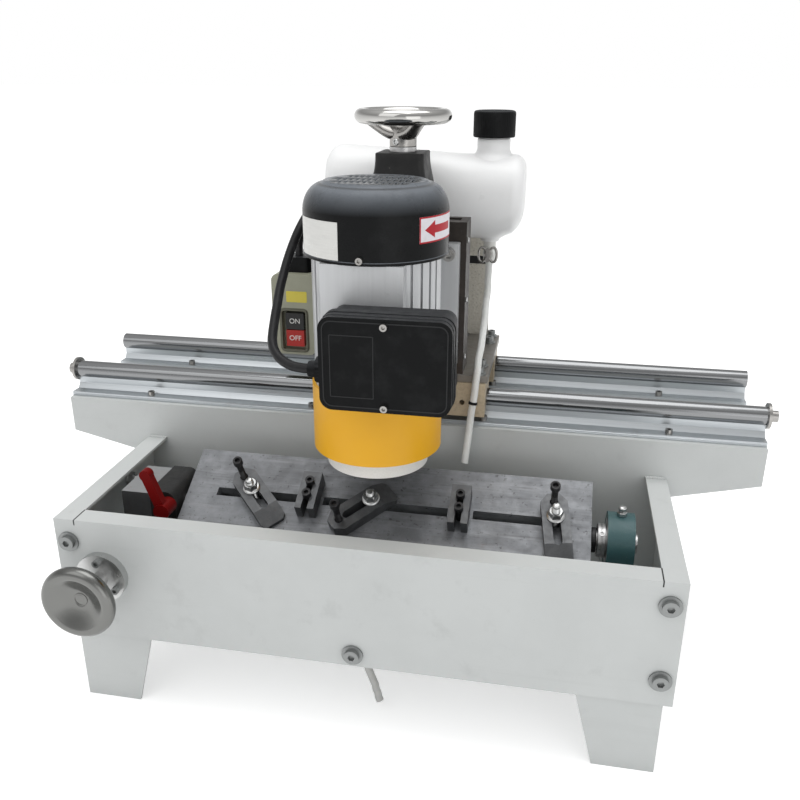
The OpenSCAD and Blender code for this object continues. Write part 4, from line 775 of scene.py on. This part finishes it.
WORM_X, WORM_Z = -255.0, 155.0
HAND_BACK = 22.0
KNOB_SIDES = 96
KNOB = ([(0, 22.9), (3.6, 22.6), (5.6, 22.4), (6.0, 22.15), (6.6, 22.15), (7.0, 22.5), (9, 22.8), (13, 24.1),
         (18, 26.6), (23, 29.6)] + arc(30.5, 26, 7, 7, 122, -118, 20)
        + [(24, 16.2), (19, 12.0), (15.0, 8.5), (13.4, 5.5), (13, 3), (13, 0.6), (12.4, 0), (8.1, 0)])
piece("hand_knob", *moved(turned(WORM_X, -HAND_BACK, WORM_Z, "X", 90), lathe(KNOB, KNOB_SIDES)), KNOB_STEEL,
      "tilt_wheel", "handwheel_chrome", ["front_handwheel"])


# Top handwheel: a round rim on three cast arms

SCREW_Y = 232.0
RIM_R, RIM_TUBE_R, RIM_Z = 42.5, 7.5, 584.0
HUB_Z = 554.0
# Radius, and height above the hub's foot
HUB = [(8, 0), (13.2, 0), (14, 0.8), (14, 9), (14.6, 11), (14.2, 19), (13, 21.5), (11, 22), (8, 22)]
ARM_COUNT = 3
ARM_TURN = 66.0
ARM_LEAN = 0.35
# Along an arm: distance from the axis, height, half-width, half-height
ARM_STEPS = [(9, 567, 12.0, 6.5), (14, 567.8, 10.6, 6.2), (20, 570, 8.4, 5.4), (27, 574.2, 7.2, 5.0),
             (34, 579, 6.8, 4.8), (40, 582.5, 6.6, 4.8)]
SET_SCREW_TURN = -112.0
SET_SCREW_UP = 5.0
SET_SCREW_R = 13.6


def arm(degrees):
    a = radians(degrees)
    out = Vector((cos(a), sin(a), 0))
    side = Vector((-sin(a), cos(a), 0))
    up = Vector((0, 0, 1))
    return loft([out * r + up * z for r, z, w, h in ARM_STEPS], [side * w for r, z, w, h in ARM_STEPS],
                [(up - out * ARM_LEAN) * h for r, z, w, h in ARM_STEPS], 20)


def top_wheel():
    place = placed(CARRIAGE_X, SCREW_Y, 0)
    rim = lathe(arc(RIM_R, RIM_Z, RIM_TUBE_R, RIM_TUBE_R, 0, 360, 28), 96)
    hub = lathe([(r, HUB_Z + up) for r, up in HUB], 48)
    arms = [arm(ARM_TURN + 360 / ARM_COUNT * i) for i in range(ARM_COUNT)]
    piece("top_wheel_rim", *moved(place, rim), CHROME, "feed", "handwheel_chrome", ["top_handwheel"])
    piece("top_wheel_arms", *moved(place, joined(hub, *arms)), NICKEL, "feed", "handwheel_chrome")
    screw_place = (turned(CARRIAGE_X, SCREW_Y, HUB_Z + SET_SCREW_UP, "Z", SET_SCREW_TURN)
                   @ Matrix.Translation((SET_SCREW_R * MM, 0, 0)) @ Matrix.Rotation(radians(90), 4, "Y"))
    piece("top_wheel_set_screw", *moved(screw_place, socket_head(3.6, 1.6, 1.8, 1.2, 1.8, 2)), ZINC, "feed",
          "zinc")


top_wheel()


# Neck of the column: a casting with round corners that flares out at its foot

NECK_HALF = 25.15
NECK_ROUND = 6.0
NECK_Z = (485.1, 548.9)
# Height above the foot and how far the side stands out there
NECK_FLARE = [(0, 5.0), (24, 4.6), (31, 4.0), (36, 3.2), (41, 2.2), (46, 1.2), (52, 0.4), (58, 0.0)]
# Rounded top edge: how far it is drawn in, and how far below the top that is
NECK_EDGE = [(0.0, 1.2), (0.4, 0.3), (1.2, 0.0)]
# The hole inside
NECK_CORE_HALF = 23.2
NECK_CORE_ROUND = 3.0
NECK_CORE_DOWN = 0.2


def neck_outline(half, r, z):
    return [(x, y, z) for x, _, y in outline((-half, -half, half, half), r, 0)]


def neck():
    z0, z1 = NECK_Z
    rows = [neck_outline(NECK_HALF + out, NECK_ROUND, z0 + up) for up, out in NECK_FLARE]
    rows += [neck_outline(NECK_HALF - cut, NECK_ROUND - cut, z1 - down) for cut, down in NECK_EDGE]
    rows += [neck_outline(NECK_CORE_HALF, NECK_CORE_ROUND, z) for z in (z1 - NECK_CORE_DOWN, z0)]
    piece("neck_casting", *moved(placed(CARRIAGE_X, SCREW_Y, 0), tube(rows)), CASTING, "carriage", "black_cast")


neck()


# Fan cover: a smooth dome with three rows of slots in its top

MOTOR_Y = 99.95
COVER_Z = 471.0
COVER_R = 66.5
COVER_H = 65.0
COVER_T = 2.5
COVER_SIDES = 120
COVER_LIP = [(COVER_R, 0), (COVER_R + 0.5, 0.4), (COVER_R + 0.5, 2.4), (COVER_R, 3)]
# The wall is straight up to here, and then bends in
WALL_H = 38.0
SHOULDER_R, SHOULDER_H = 18.5, 24.8
GRILLE_R = 47.0
GRILLE_DROP = 0.6
GRILLE_EDGE = 3.0
SLOT_W = 2.6
SLOT_PITCH = 5.6
SLOT_N = 13
# Front end and length of the slots in each row
SLOT_ROWS = [(-27.0, 13.0), (-9.0, 17.0), (13.0, 15.0)]
COVER_PLACE = placed(CARRIAGE_X, MOTOR_Y, COVER_Z)


def dome():
    shoulder = arc(COVER_R - SHOULDER_R, WALL_H, SHOULDER_R, SHOULDER_H, 0, 86, 16)
    outer = COVER_LIP + shoulder + [(GRILLE_R, COVER_H - GRILLE_DROP)]
    inner = ([(GRILLE_R, COVER_H - COVER_T)]
             + [(r - COVER_T, z - GRILLE_DROP) for r, z in reversed(shoulder)]
             + [(COVER_R - COVER_T, WALL_H), (COVER_R - COVER_T, 0)])
    piece("dome", *moved(COVER_PLACE, lathe(outer + inner, COVER_SIDES)), DOME, "head", "black_plastic",
          ["fan_cover"])


def grille_slots():
    """Corners of each slot that lies inside the grille's edge."""
    slots = []
    half = SLOT_W / 2
    for y0, length in SLOT_ROWS:
        y1 = y0 + length
        for i in range(SLOT_N):
            x = (i - (SLOT_N - 1) / 2) * SLOT_PITCH
            if hypot(abs(x) + SLOT_W, max(abs(y0), abs(y1))) <= GRILLE_R - GRILLE_EDGE:
                slots.append([(x - half, y0), (x + half, y0), (x + half, y1), (x - half, y1)])
    return slots


def grille():
    """The flat top, filled between its round edge and the slots' edges, then given thickness."""
    rim = [(GRILLE_R * cos(a), GRILLE_R * sin(a)) for a in full_turn(COVER_SIDES)]
    bm = bmesh.new()
    edges = []
    for loop in [rim] + grille_slots():
        ring = [bm.verts.new(COVER_PLACE @ (Vector((x, y, COVER_H - GRILLE_DROP)) * MM)) for x, y in loop]
        edges += [bm.edges.new(ends) for ends in zip(ring, ring[1:] + ring[:1])]
    bmesh.ops.triangle_fill(bm, edges=edges, use_beauty=True, use_dissolve=False)
    bm.verts.index_update()
    verts = [v.co.copy() for v in bm.verts]
    faces = [tuple(v.index for v in f.verts) for f in bm.faces]
    bm.free()
    top = piece("dome_grille", verts, faces, DOME, "head", "black_plastic")
    solid = top.modifiers.new("thickness", "SOLIDIFY")
    solid.thickness = COVER_T * MM
    solid.offset = -1


dome()
grille()


# Stickers on the dome: a blank plate and an arrow for the turning direction

# First and last angle round the dome, in degrees from its front, then low and high edge
BLANK_PLATE = (-64, -17, 474.5, 507)
ARROW_STICKER = (46, 93, 488, 510.5)
STICKER_R = COVER_R + 0.05
MARK_R = COVER_R + 0.2
MARK_T = 0.15
BORDER = 1.3
BORDER_TURN = 1.1
ARROW_Z = 499.2
ARROW_TIP, ARROW_BARB, ARROW_TAIL = 51.0, 62.0, 86.0
BARB_HALF = 7.5
BARB_STEPS = 8
SHAFT_HALF = 3.4


def columns(a0, a1, low, high, steps=24):
    return [(a0 + (a1 - a0) * i / steps, low, high) for i in range(steps + 1)]


def wrapped(points, radius, thick):
    """Columns of (angle in degrees from the front, low z, high z) laid on the dome as a thin closed strip."""
    verts, faces = [], []
    for a, low, high in points:
        x, y = sin(radians(a)), -cos(radians(a))
        for r in (radius, radius + thick):
            verts += [(r * x, r * y, low), (r * x, r * y, high)]
    for i in range(len(points) - 1):
        b, n = 4 * i, 4 * i + 4
        faces += [(b + 2, n + 2, n + 3, b + 3), (b, b + 1, n + 1, n),
                  (b, n, n + 2, b + 2), (b + 1, b + 3, n + 3, n + 1)]
    e = 4 * (len(points) - 1)
    faces += [(0, 2, 3, 1), (e, e + 1, e + 3, e + 2)]
    return verts, faces


def stickers():
    place = placed(CARRIAGE_X, MOTOR_Y, 0)
    plate = wrapped(columns(*BLANK_PLATE), STICKER_R, 0.5)
    piece("blank_plate", *moved(place, plate), PLATE, "head", "motor_aluminium")
    white = wrapped(columns(*ARROW_STICKER), STICKER_R, 0.2)
    piece("arrow_sticker", *moved(place, white), STICKER, "head", "black_plastic")
    shares = [i / BARB_STEPS for i in range(BARB_STEPS + 1)]
    barb = [(ARROW_TIP + (ARROW_BARB - ARROW_TIP) * s, ARROW_Z - BARB_HALF * s, ARROW_Z + BARB_HALF * s)
            for s in shares]
    shaft = columns(ARROW_BARB, ARROW_TAIL, ARROW_Z - SHAFT_HALF, ARROW_Z + SHAFT_HALF, 12)
    a0, a1, low, high = ARROW_STICKER
    border = [columns(a0, a1, low, low + BORDER), columns(a0, a1, high - BORDER, high),
              columns(a0, a0 + BORDER_TURN, low + BORDER, high - BORDER, 2)]
    marks = [wrapped(strip, MARK_R, MARK_T) for strip in (barb, shaft, *border)]
    piece("arrow_mark", *moved(place, joined(*marks)), ARROW, "head", "button_red")


stickers()


# Clamp hardware: black jack screws, bright studs with flange nuts

TABLE_AXIS = (104.0, 189.0)
TABLE_PLACE = turned(0, *TABLE_AXIS, "X", 30)
TABLE_TOP = 15.0
SLOT_V = 6.5
CLAMP_L = 75.0
CLAMP_T = 13.0
# Place along the slots, angle, share of the bar behind the stud, top of the stud
CLAMPS = [(-130.45, -46, 0.37, 28.0), (-1.8, 44, 0.66, 26.0), (185.22, -82, 0.35, 33.0)]
STUD_FOOT = -12.0
TEE = [(0, -18), (10.8, -18), (11.3, -17.5), (11.3, -12.5), (10.8, STUD_FOOT), (0, STUD_FOOT)]
# Radius, and height above the bar
FLANGE = [(4.2, 0), (8.8, 0), (9, 0.3), (9, 1.4), (8.4, 2), (7.4, 2.6), (4.2, 2.6)]
NUT = (13, 15.2, 22.4)
JACK_L = 37.0
JACK_INSET = 10.0


def stud_mesh(angle, top):
    rod = lathe([(0, STUD_FOOT), (4, STUD_FOOT)] + thread(4, STUD_FOOT + 1, top - 1)
                + [(3.2, top - 0.4), (2.6, top), (0, top)], 32)
    tee, tee_faces = lathe(TEE, 4)
    along_slot = Matrix.Rotation(radians(45 - angle), 3, "Z")
    tee = [tuple(along_slot @ Vector(v)) for v in tee]
    flange = lathe([(r, CLAMP_T + up) for r, up in FLANGE], 48)
    return joined(rod, (tee, tee_faces), flange, hex_nut(*NUT))


def jack_mesh():
    shank = lathe([(0, 0), (2.7, 0), (3.3, 1)] + thread(3.3, 1.2, 26)
                  + [(3.3, 26.5), (3.3, JACK_L), (0, JACK_L)], 32)
    head, head_faces = socket_head(5.0, 7, 2.6, 3.5, 3.2, 0)
    return joined(shank, ([(x, y, z + JACK_L) for x, y, z in head], head_faces))


def clamp_hardware():
    for i, (u, angle, share, top) in enumerate(CLAMPS, 1):
        stud = (TABLE_PLACE @ Matrix.Translation((u * MM, SLOT_V * MM, TABLE_TOP * MM))
                @ Matrix.Rotation(radians(angle), 4, "Z"))
        piece(f"stud_{i}", *moved(stud, stud_mesh(angle, top)), ZINC, f"clamp_{i}", "zinc", [f"clamp_screws_{i}"])
        jack = stud @ Matrix.Translation((-(CLAMP_L * share - JACK_INSET) * MM, 0, 0))
        piece(f"jack_{i}", *moved(jack, jack_mesh()), OXIDE, f"clamp_{i}", "dark_steel")


clamp_hardware()


# Tank cap with gripping ribs

FILLER = (91.0, 316.0)
CAP_Z = 559.0
CAP = [(16.85, 0), (22.2, 0), (22.8, 0.6), (23, 1.4, 1), (23, 25.2, 1), (22.4, 26.8), (21.2, 27.6), (19.6, 28),
       (18.6, 27.2), (17.4, 26.6), (0, 26.4), (0, 25), (16.85, 25)]
piece("ribbed_cap", *moved(placed(*FILLER, CAP_Z), lathe(CAP, 180, 60, 0.45)), BLACK, "cap", "black_plastic",
      ["tank_cap"])


# Switch: lettering, a blank label and a bezel

SWITCH_X = -120.0
SWITCH_Y = 230.0
BUTTON_Y = 232.0
ON_Z = 360.5
OFF_Z = 340.5
LETTER_H = 8.2
LETTER_T = 0.08
LABEL_BOX = (-128.0, 383.4, -104.0, 396.0)
BEZEL_BOX = (-136.0, 325.5, -104.0, 375.5)


def lettering(name, words, z, body):
    curve = bpy.data.curves.new(name, "FONT")
    curve.body = words
    curve.size = LETTER_H * MM
    curve.extrude = LETTER_T * MM
    curve.align_x = "CENTER"
    curve.align_y = "CENTER"
    curve.materials.append(LETTER.m)
    obj = add_object(name, curve)
    obj.matrix_world = turned(SWITCH_X, BUTTON_Y - 0.05, z, "X", 90)
    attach(obj, body)


def switch_details():
    lettering("on_letters", "ON", ON_Z, "on")
    lettering("off_letters", "OFF", OFF_Z, "off")
    label = in_place(rounded_plate(LABEL_BOX, 1.2, SWITCH_Y - 0.25, SWITCH_Y - 0.02),
                     frame_ring(grown(LABEL_BOX, -0.8), 0.7, 0.8, SWITCH_Y - 0.35, SWITCH_Y - 0.2))
    piece("switch_label", *label, LABEL, "head", "switch_grey")
    bezel = in_place(frame_ring(BEZEL_BOX, 2.2, 5.0, SWITCH_Y - 1.4, SWITCH_Y + 0.2),
                     frame_ring(grown(BEZEL_BOX, 1.0), 1.2, 6.0, SWITCH_Y - 0.7, SWITCH_Y + 0.2))
    piece("switch_bezel", *bezel, BEZEL, "head", "switch_grey", rounded=0.4)


switch_details()


# Coolant tank: a soft blown bottle, higher at its left end, with a filler neck and a funnel to the tap

TANK_ENDS = (-95.0, 127.5)
TANK_LOW = 449.0
TANK_TOP = 541.0
TANK_HALF = 46.0
LEFT_ROUND = 17.0
RIGHT_ROUND = 13.0
END_STEPS = 9
TANK_STRAIGHT = [-60 + 20 * i for i in range(9)]
TANK_SIDES = 48
# Power of the section, between an ellipse (2) and a box
TANK_POWER = 2.4
# The bottom bends up towards the right end: start, length, height, power
SLANT_X, SLANT_L, SLANT_H, SLANT_POWER = 98, 30, 16, 1.6
# The top rises towards the left end: start, length, height
RISE_X, RISE_L, RISE_H = 60, 150, 9
FILLER_NECK = ([(27, 535), (22.5, 540), (19.6, 542.6), (18.3, 546), (18.1, 549), (18.1, 556.6), (17.6, 557.6),
                (16.3, 557.8)] + thread(16.4, 559.5, 575, 3.0, 0.7)
               + [(16.0, 577), (15.4, 578.5), (13.6, 578.8), (13, 578.2), (13, 546), (0, 546)])
FUNNEL = [(0, 455), (19, 456), (15, 450.5), (11.5, 448.6), (10.6, 447.4), (10.4, 445.4), (7.3, 445.2),
          (7.3, 452), (0, 452)]


def end_round(r):
    """How far from the tip, and how far in, each station of a round end lies."""
    angles = [radians(90 * i / END_STEPS) for i in range(END_STEPS + 1)]
    return [(r * (1 - cos(a)), r * (1 - sin(a))) for a in angles]


def squared(c):
    """A sine or cosine pushed out towards a box's corner."""
    return copysign(abs(c) ** (2 / TANK_POWER), c)


def bottle_row(x, inset):
    low = TANK_LOW + inset + SLANT_H * max(0.0, (x - SLANT_X) / SLANT_L) ** SLANT_POWER
    high = TANK_TOP + RISE_H * min(1.0, max(0.0, (RISE_X - x) / RISE_L)) - inset
    return [(x, FILLER[1] + squared(cos(a)) * (TANK_HALF - inset),
             (low + high) / 2 + squared(sin(a)) * (high - low) / 2) for a in full_turn(TANK_SIDES)]


def bottle():
    stations = [(TANK_ENDS[0] + along, inset) for along, inset in end_round(LEFT_ROUND)]
    stations += [(x, 0.0) for x in TANK_STRAIGHT]
    stations += [(TANK_ENDS[1] - along, inset) for along, inset in reversed(end_round(RIGHT_ROUND))]
    place = placed(*FILLER, 0)
    parts = joined(in_place(skin([bottle_row(*s) for s in stations])), moved(place, lathe(FILLER_NECK, 64)),
                   moved(place, lathe(FUNNEL, 48)))
    piece("tank_bottle", *parts, TANK, "carriage", "tank_plastic", ["tank"])


bottle()


# Tap: a wire butterfly handle on a short spindle

TAP_Z = 433.0
WING_Y = 294.0
# Each wing's middle and half-width, its half-height near the spindle, and what it gains outwards
WING_X, WING_R, WING_H, WING_GAIN = 5.8, 4.4, 6.4, 0.3
WING_POINTS = 28
WIRE_R = 1.5
TAP_HUB = [(0, -2.5), (3.4, -2.5), (4.2, -1.8), (4.2, 2.4), (3.6, 3), (2.9, 3), (2.9, 21), (0, 21)]


def wing(side):
    points = []
    for a in full_turn(WING_POINTS):
        x = side * (WING_X + WING_R * cos(a))
        points.append((FILLER[0] + x, WING_Y, TAP_Z + (WING_H + WING_GAIN * abs(x)) * sin(a)))
    return ring_wire(points, WIRE_R)


def butterfly():
    hub = moved(turned(FILLER[0], WING_Y, TAP_Z, "X", -90), lathe(TAP_HUB, 32))
    bar = moved(placed(FILLER[0], WING_Y, TAP_Z), rounded_plate((-2.2, -8, 2.2, 8), 2.0, -3.6, -1.2))
    piece("tap_wing", *joined(in_place(wing(-1), wing(1)), hub, bar), NICKEL, "tap", "zinc", ["tap_handle"])


butterfly()


# Terminal box: raised lines on its cover painted lighter as a highlight along its edges, steps on its cover, and
# a ribbed cable gland

LID = (-21.5, 356.0, 91.5, 438.0)
LID_Y = -10.05
LID_ROUND = 11.0
LID_PANEL = (-12, 368, 26, 423)
LINE_INSET = 3.2
GLAND = (-19.5, 25.95, 379.0)
GLAND_NUT = [(9, 0.2), (11.7, 0.2), (12.0, 0.6), (12.2, 1.2, 1), (12.2, 11.8, 1), (11.8, 13.2), (9.6, 14.4),
             (8.2, 15), (7.6, 16), (7.5, 19.6), (6.8, 21.3), (5.2, 21.9), (4.7, 21.6), (4.7, 16)]


def terminal_details():
    lines = in_place(
        frame_ring(grown(LID, -LINE_INSET), 1.0, LID_ROUND - LINE_INSET, LID_Y - 0.35, LID_Y + 0.3),
        frame_ring(LID_PANEL, 0.8, 1.0, LID_Y - 0.25, LID_Y + 0.3))
    piece("cover_highlight_lines", *lines, COVER_LINE_HIGHLIGHT, "head", "black_plastic")
    steps = in_place(frame_ring(grown(LID, 1.1), 2.2, LID_ROUND + 1.1, 4.5, 13.9),
                     frame_ring(grown(LID, 0.5), 2.0, LID_ROUND + 0.5, -3.5, 4.4))
    piece("cover_steps", *steps, BLACK, "head", "black_plastic", rounded=0.5)
    piece("gland_nut", *moved(turned(*GLAND, "Y", -90), lathe(GLAND_NUT, 96, 16, 0.5)), BLACK, "head",
          "black_plastic")


terminal_details()


# Fittings on the tray and the table's right shaft

WALL_NUT = (-299, 143.9, 188.1)
NIPPLE_X = 249.0
NIPPLE_FOOT = [(0, 219.1), (4.7, 219.1), (5.0, 219.5), (5.0, 222.6), (4.4, 223.2), (0, 223.2)]
NIPPLE_HEAD = [(3.9, 223), (3.7, 225), (3.6, 226), (3.9, 226.8), (3.9, 227.8), (3.4, 228.6), (1.8, 229.2),
               (0, 229.3)]
COLLAR_X = 227.1
COLLAR = [(14.1, 0), (16.5, 0), (17.1, 0.6), (17.1, 3.4), (16.7, 3.8), (16.7, 4.6), (17.1, 5), (17.1, 7.6),
          (16.5, 8.2), (14.1, 8.2)]
GRUB_X, GRUB_TURN = 231.2, 38
GRUB = [(0, 16.4), (2.6, 16.4), (2.6, 17.8), (1.6, 17.8), (1.4, 16.9), (0, 16.9)]
BUSHING_X = 221.4
BUSHING = [(10.1, 0), (12.2, 0), (12.6, 0.4, 1), (12.6, 4.2, 1), (12.2, 4.8), (10.1, 4.8)]


def shaft_fittings():
    piece("wall_nut", *moved(turned(*WALL_NUT, "Y", 90), nut_on(13, 4.2, 12, 8.5)), ZINC, "frame", "zinc")
    nipple = joined(lathe(NIPPLE_FOOT, 6), lathe(NIPPLE_HEAD, 24))
    piece("grease_nipple", *moved(placed(NIPPLE_X, TABLE_AXIS[0], 0), nipple), ZINC, "frame", "zinc")
    collar = joined(moved(turned(COLLAR_X, *TABLE_AXIS, "Y", 90), lathe(COLLAR, 72)),
                    moved(turned(GRUB_X, *TABLE_AXIS, "X", GRUB_TURN), lathe(GRUB, 24)))
    piece("bearing_collar", *collar, BRIGHT, "frame", "dark_steel")
    bushing = lathe(BUSHING, 96, 32, 0.3)
    piece("shaft_bushing", *moved(turned(BUSHING_X, *TABLE_AXIS, "Y", 90), bushing), OXIDE, "table", "dark_steel")


shaft_fittings()


# Gib screws, weld beads, painted shade in the corner seams' gaps, strap tabs and rail ribs

GIB_X, GIB_Y, GIB_Z = 81.2, 169, (352, 412, 472)
WELD_SPANS = [(-301, -279), (279, 301)]
WELD_Y, WELD_Z = 206.0, 214.4
WELD_R, WELD_WAVE, WELD_STEPS = 2.1, 0.35, 24
GAP_SHADE_X = (-280, 280)
GAP_SHADE_HALF = 0.6
# Front, back, low and high of the two parts of a dark strip of painted shade in a seam's gap: on the panel's face
# and on its lip
GAP_SHADE_PARTS = [(-0.1, 0.1, 208.5, 214.1), (0.1, 22.0, 213.9, 214.1)]
TAB_X = (-63, 73)
TAB_HALF = 11.8
TAB_Y, TAB_Z = (375.6, 378.6), (405.2, 414.8)
RIB_X, RIB_Z = (-399.5, 399.5), (258.4, 260.2)
RIB_FOOT_Y, RIB_TOP_Y = 213.6, 213.0
RIB_HALF = 0.5


def weld(x0, x1):
    """A bead that swells and thins along its length and closes at both ends."""
    n = WELD_STEPS
    centres = [(x0 + (x1 - x0) * i / n, WELD_Y, WELD_Z) for i in range(n + 1)]
    sizes = [(WELD_R + WELD_WAVE * sin(2.2 * i)) * sin(pi * (i + 0.6) / (n + 1.2)) ** 0.3
             for i in range(n + 1)]
    return loft(centres, [(0, r, 0) for r in sizes], [(0, 0, r) for r in sizes], 14)


# painted shade: a dark strip where the gap between the front and side flanges lies in shade
def gap_shade(x, front, back, low, high):
    x0, x1 = x - GAP_SHADE_HALF, x + GAP_SHADE_HALF
    return skin([[(x0, y, low), (x1, y, low), (x1, y, high), (x0, y, high)] for y in (front, back)])


def rib(z):
    return skin([[(x, RIB_FOOT_Y, z - RIB_HALF), (x, RIB_TOP_Y, z), (x, RIB_FOOT_Y, z + RIB_HALF)]
                 for x in RIB_X])


def small_trim():
    gibs = [moved(turned(GIB_X, GIB_Y, z, "Y", 90), socket_head(2.8, 1.8, 1.3, 1.3, 1.4, 1)) for z in GIB_Z]
    piece("gib_screws", *joined(*gibs), ZINC, "head", "zinc")
    piece("weld_beads", *in_place(*[weld(*span) for span in WELD_SPANS]), POWDER, "frame", "powder_coat")
    gap_shades = [gap_shade(x, *part) for x in GAP_SHADE_X for part in GAP_SHADE_PARTS]
    piece("corner_gap_shades", *in_place(*gap_shades), OXIDE, "frame", "powder_coat")
    tabs = [rounded_plate((x - TAB_HALF, TAB_Z[0], x + TAB_HALF, TAB_Z[1]), 1.5, *TAB_Y) for x in TAB_X]
    piece("strap_tabs", *in_place(*tabs), OXIDE, "carriage", "dark_steel")
    piece("rail_ribs", *in_place(*[rib(z) for z in RIB_Z]), RAIL, "frame", "rail_aluminium")


small_trim()


# Cords: the same routes as the solids, with a joining ring on the coolant hose

CABLE_D = 9.0
HOSE_D = 8.0
MOTOR_CABLE_ROUTE = [
    (-41, 25.95, 379), (-46, 25.95, 379), (-55.6, 27, 379.8), (-64.5, 30, 382), (-72.2, 34.7, 385.5),
    (-78, 40.8, 390.1), (-81.7, 47.9, 395.5), (-83.5, 56, 402), (-85, 67, 411), (-86, 79, 422), (-87, 91, 433),
    (-87, 103, 444), (-86, 114, 455.5), (-84, 124, 467), (-81, 133, 478.3), (-77.5, 142.6, 488.4),
    (-74, 153, 496.6), (-71.6, 164, 501.9), (-70.6, 175.5, 504.2), (-71.4, 187, 503.8), (-74.5, 198, 500.6),
    (-80, 208.5, 495.3), (-88, 219.2, 488), (-97, 229.8, 479.2), (-105.3, 238.8, 470.2), (-111.2, 245.4, 462.6),
    (-115.3, 249.9, 454.5), (-117.4, 252.3, 446), (-118, 253, 438), (-118, 253, 432),
]
WATER_HOSE_ROUTE = [
    (91, 316, 421), (91, 316, 415), (91, 314, 408), (91, 310, 400), (92, 303, 392), (92, 293, 384),
    (92, 281, 376), (93, 268, 368), (93, 255, 360), (93, 242, 352), (93, 229, 343), (92, 218, 334),
    (92, 209, 323), (91, 204, 309), (90, 201, 294), (88, 199, 279), (87, 197, 264), (86, 193, 250),
    (85, 188, 237), (84, 183, 224),
]
DRAIN_HOSE_ROUTE = [
    (0, 48, 67), (0, 48, 63), (1, 48, 59), (1, 47, 55), (2, 47, 51), (4, 46, 47), (5, 46, 43), (7, 45, 39),
    (9, 44, 35), (11, 43, 31), (13, 42, 27), (14, 41, 23), (16, 40, 19), (17, 39, 15), (19, 38, 11),
]
RING_PLACE = (89.3, 200.3, 288.8)
# The hose's direction at the ring
RING_AXIS = (2, 2, 15)
RING = [(4.05, -1.5), (4.7, -1.5), (5.0, -1.2), (5.0, -0.3), (4.8, 0), (5.0, 0.3), (5.0, 1.2), (4.7, 1.5),
        (4.05, 1.5)]


def hose_ring():
    lean = Vector(RING_AXIS).to_track_quat("Z", "Y").to_matrix().to_4x4()
    return piece("hose_ring", *moved(placed(*RING_PLACE) @ lean, lathe(RING, 40)), BLACK, "carriage",
                 "black_plastic")


def cord(name, route, diameter, surface, body, node, with_pieces=()):
    points = [at(*p) for p in route]
    curve = bpy.data.curves.new(name, "CURVE")
    curve.dimensions = "3D"
    curve.bevel_depth = diameter * MM / 2
    curve.bevel_resolution = 4
    curve.use_fill_caps = True
    curve.resolution_u = 6
    spline = curve.splines.new("BEZIER")
    spline.bezier_points.add(len(points) - 1)
    for i, (b, p) in enumerate(zip(spline.bezier_points, points)):
        before = points[max(i - 1, 0)]
        after = points[min(i + 1, len(points) - 1)]
        third = (after - before) / (6 if 0 < i < len(points) - 1 else 3)
        b.co = p
        b.handle_left_type = b.handle_right_type = "FREE"
        b.handle_left = p - third
        b.handle_right = p + third
    obj = add_object(name, curve)
    curve.materials.append(surface.m)
    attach(obj, body)
    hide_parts(node)


cord("cable_sheath", MOTOR_CABLE_ROUTE, CABLE_D, CABLE, "head", "motor_cable")
cord("coolant_hose", WATER_HOSE_ROUTE, HOSE_D, HOSE, "carriage", "water_hose",
     [hose_ring()])
cord("drain_pipe", DRAIN_HOSE_ROUTE, HOSE_D, GREY_HOSE, "frame", "drain_hose")
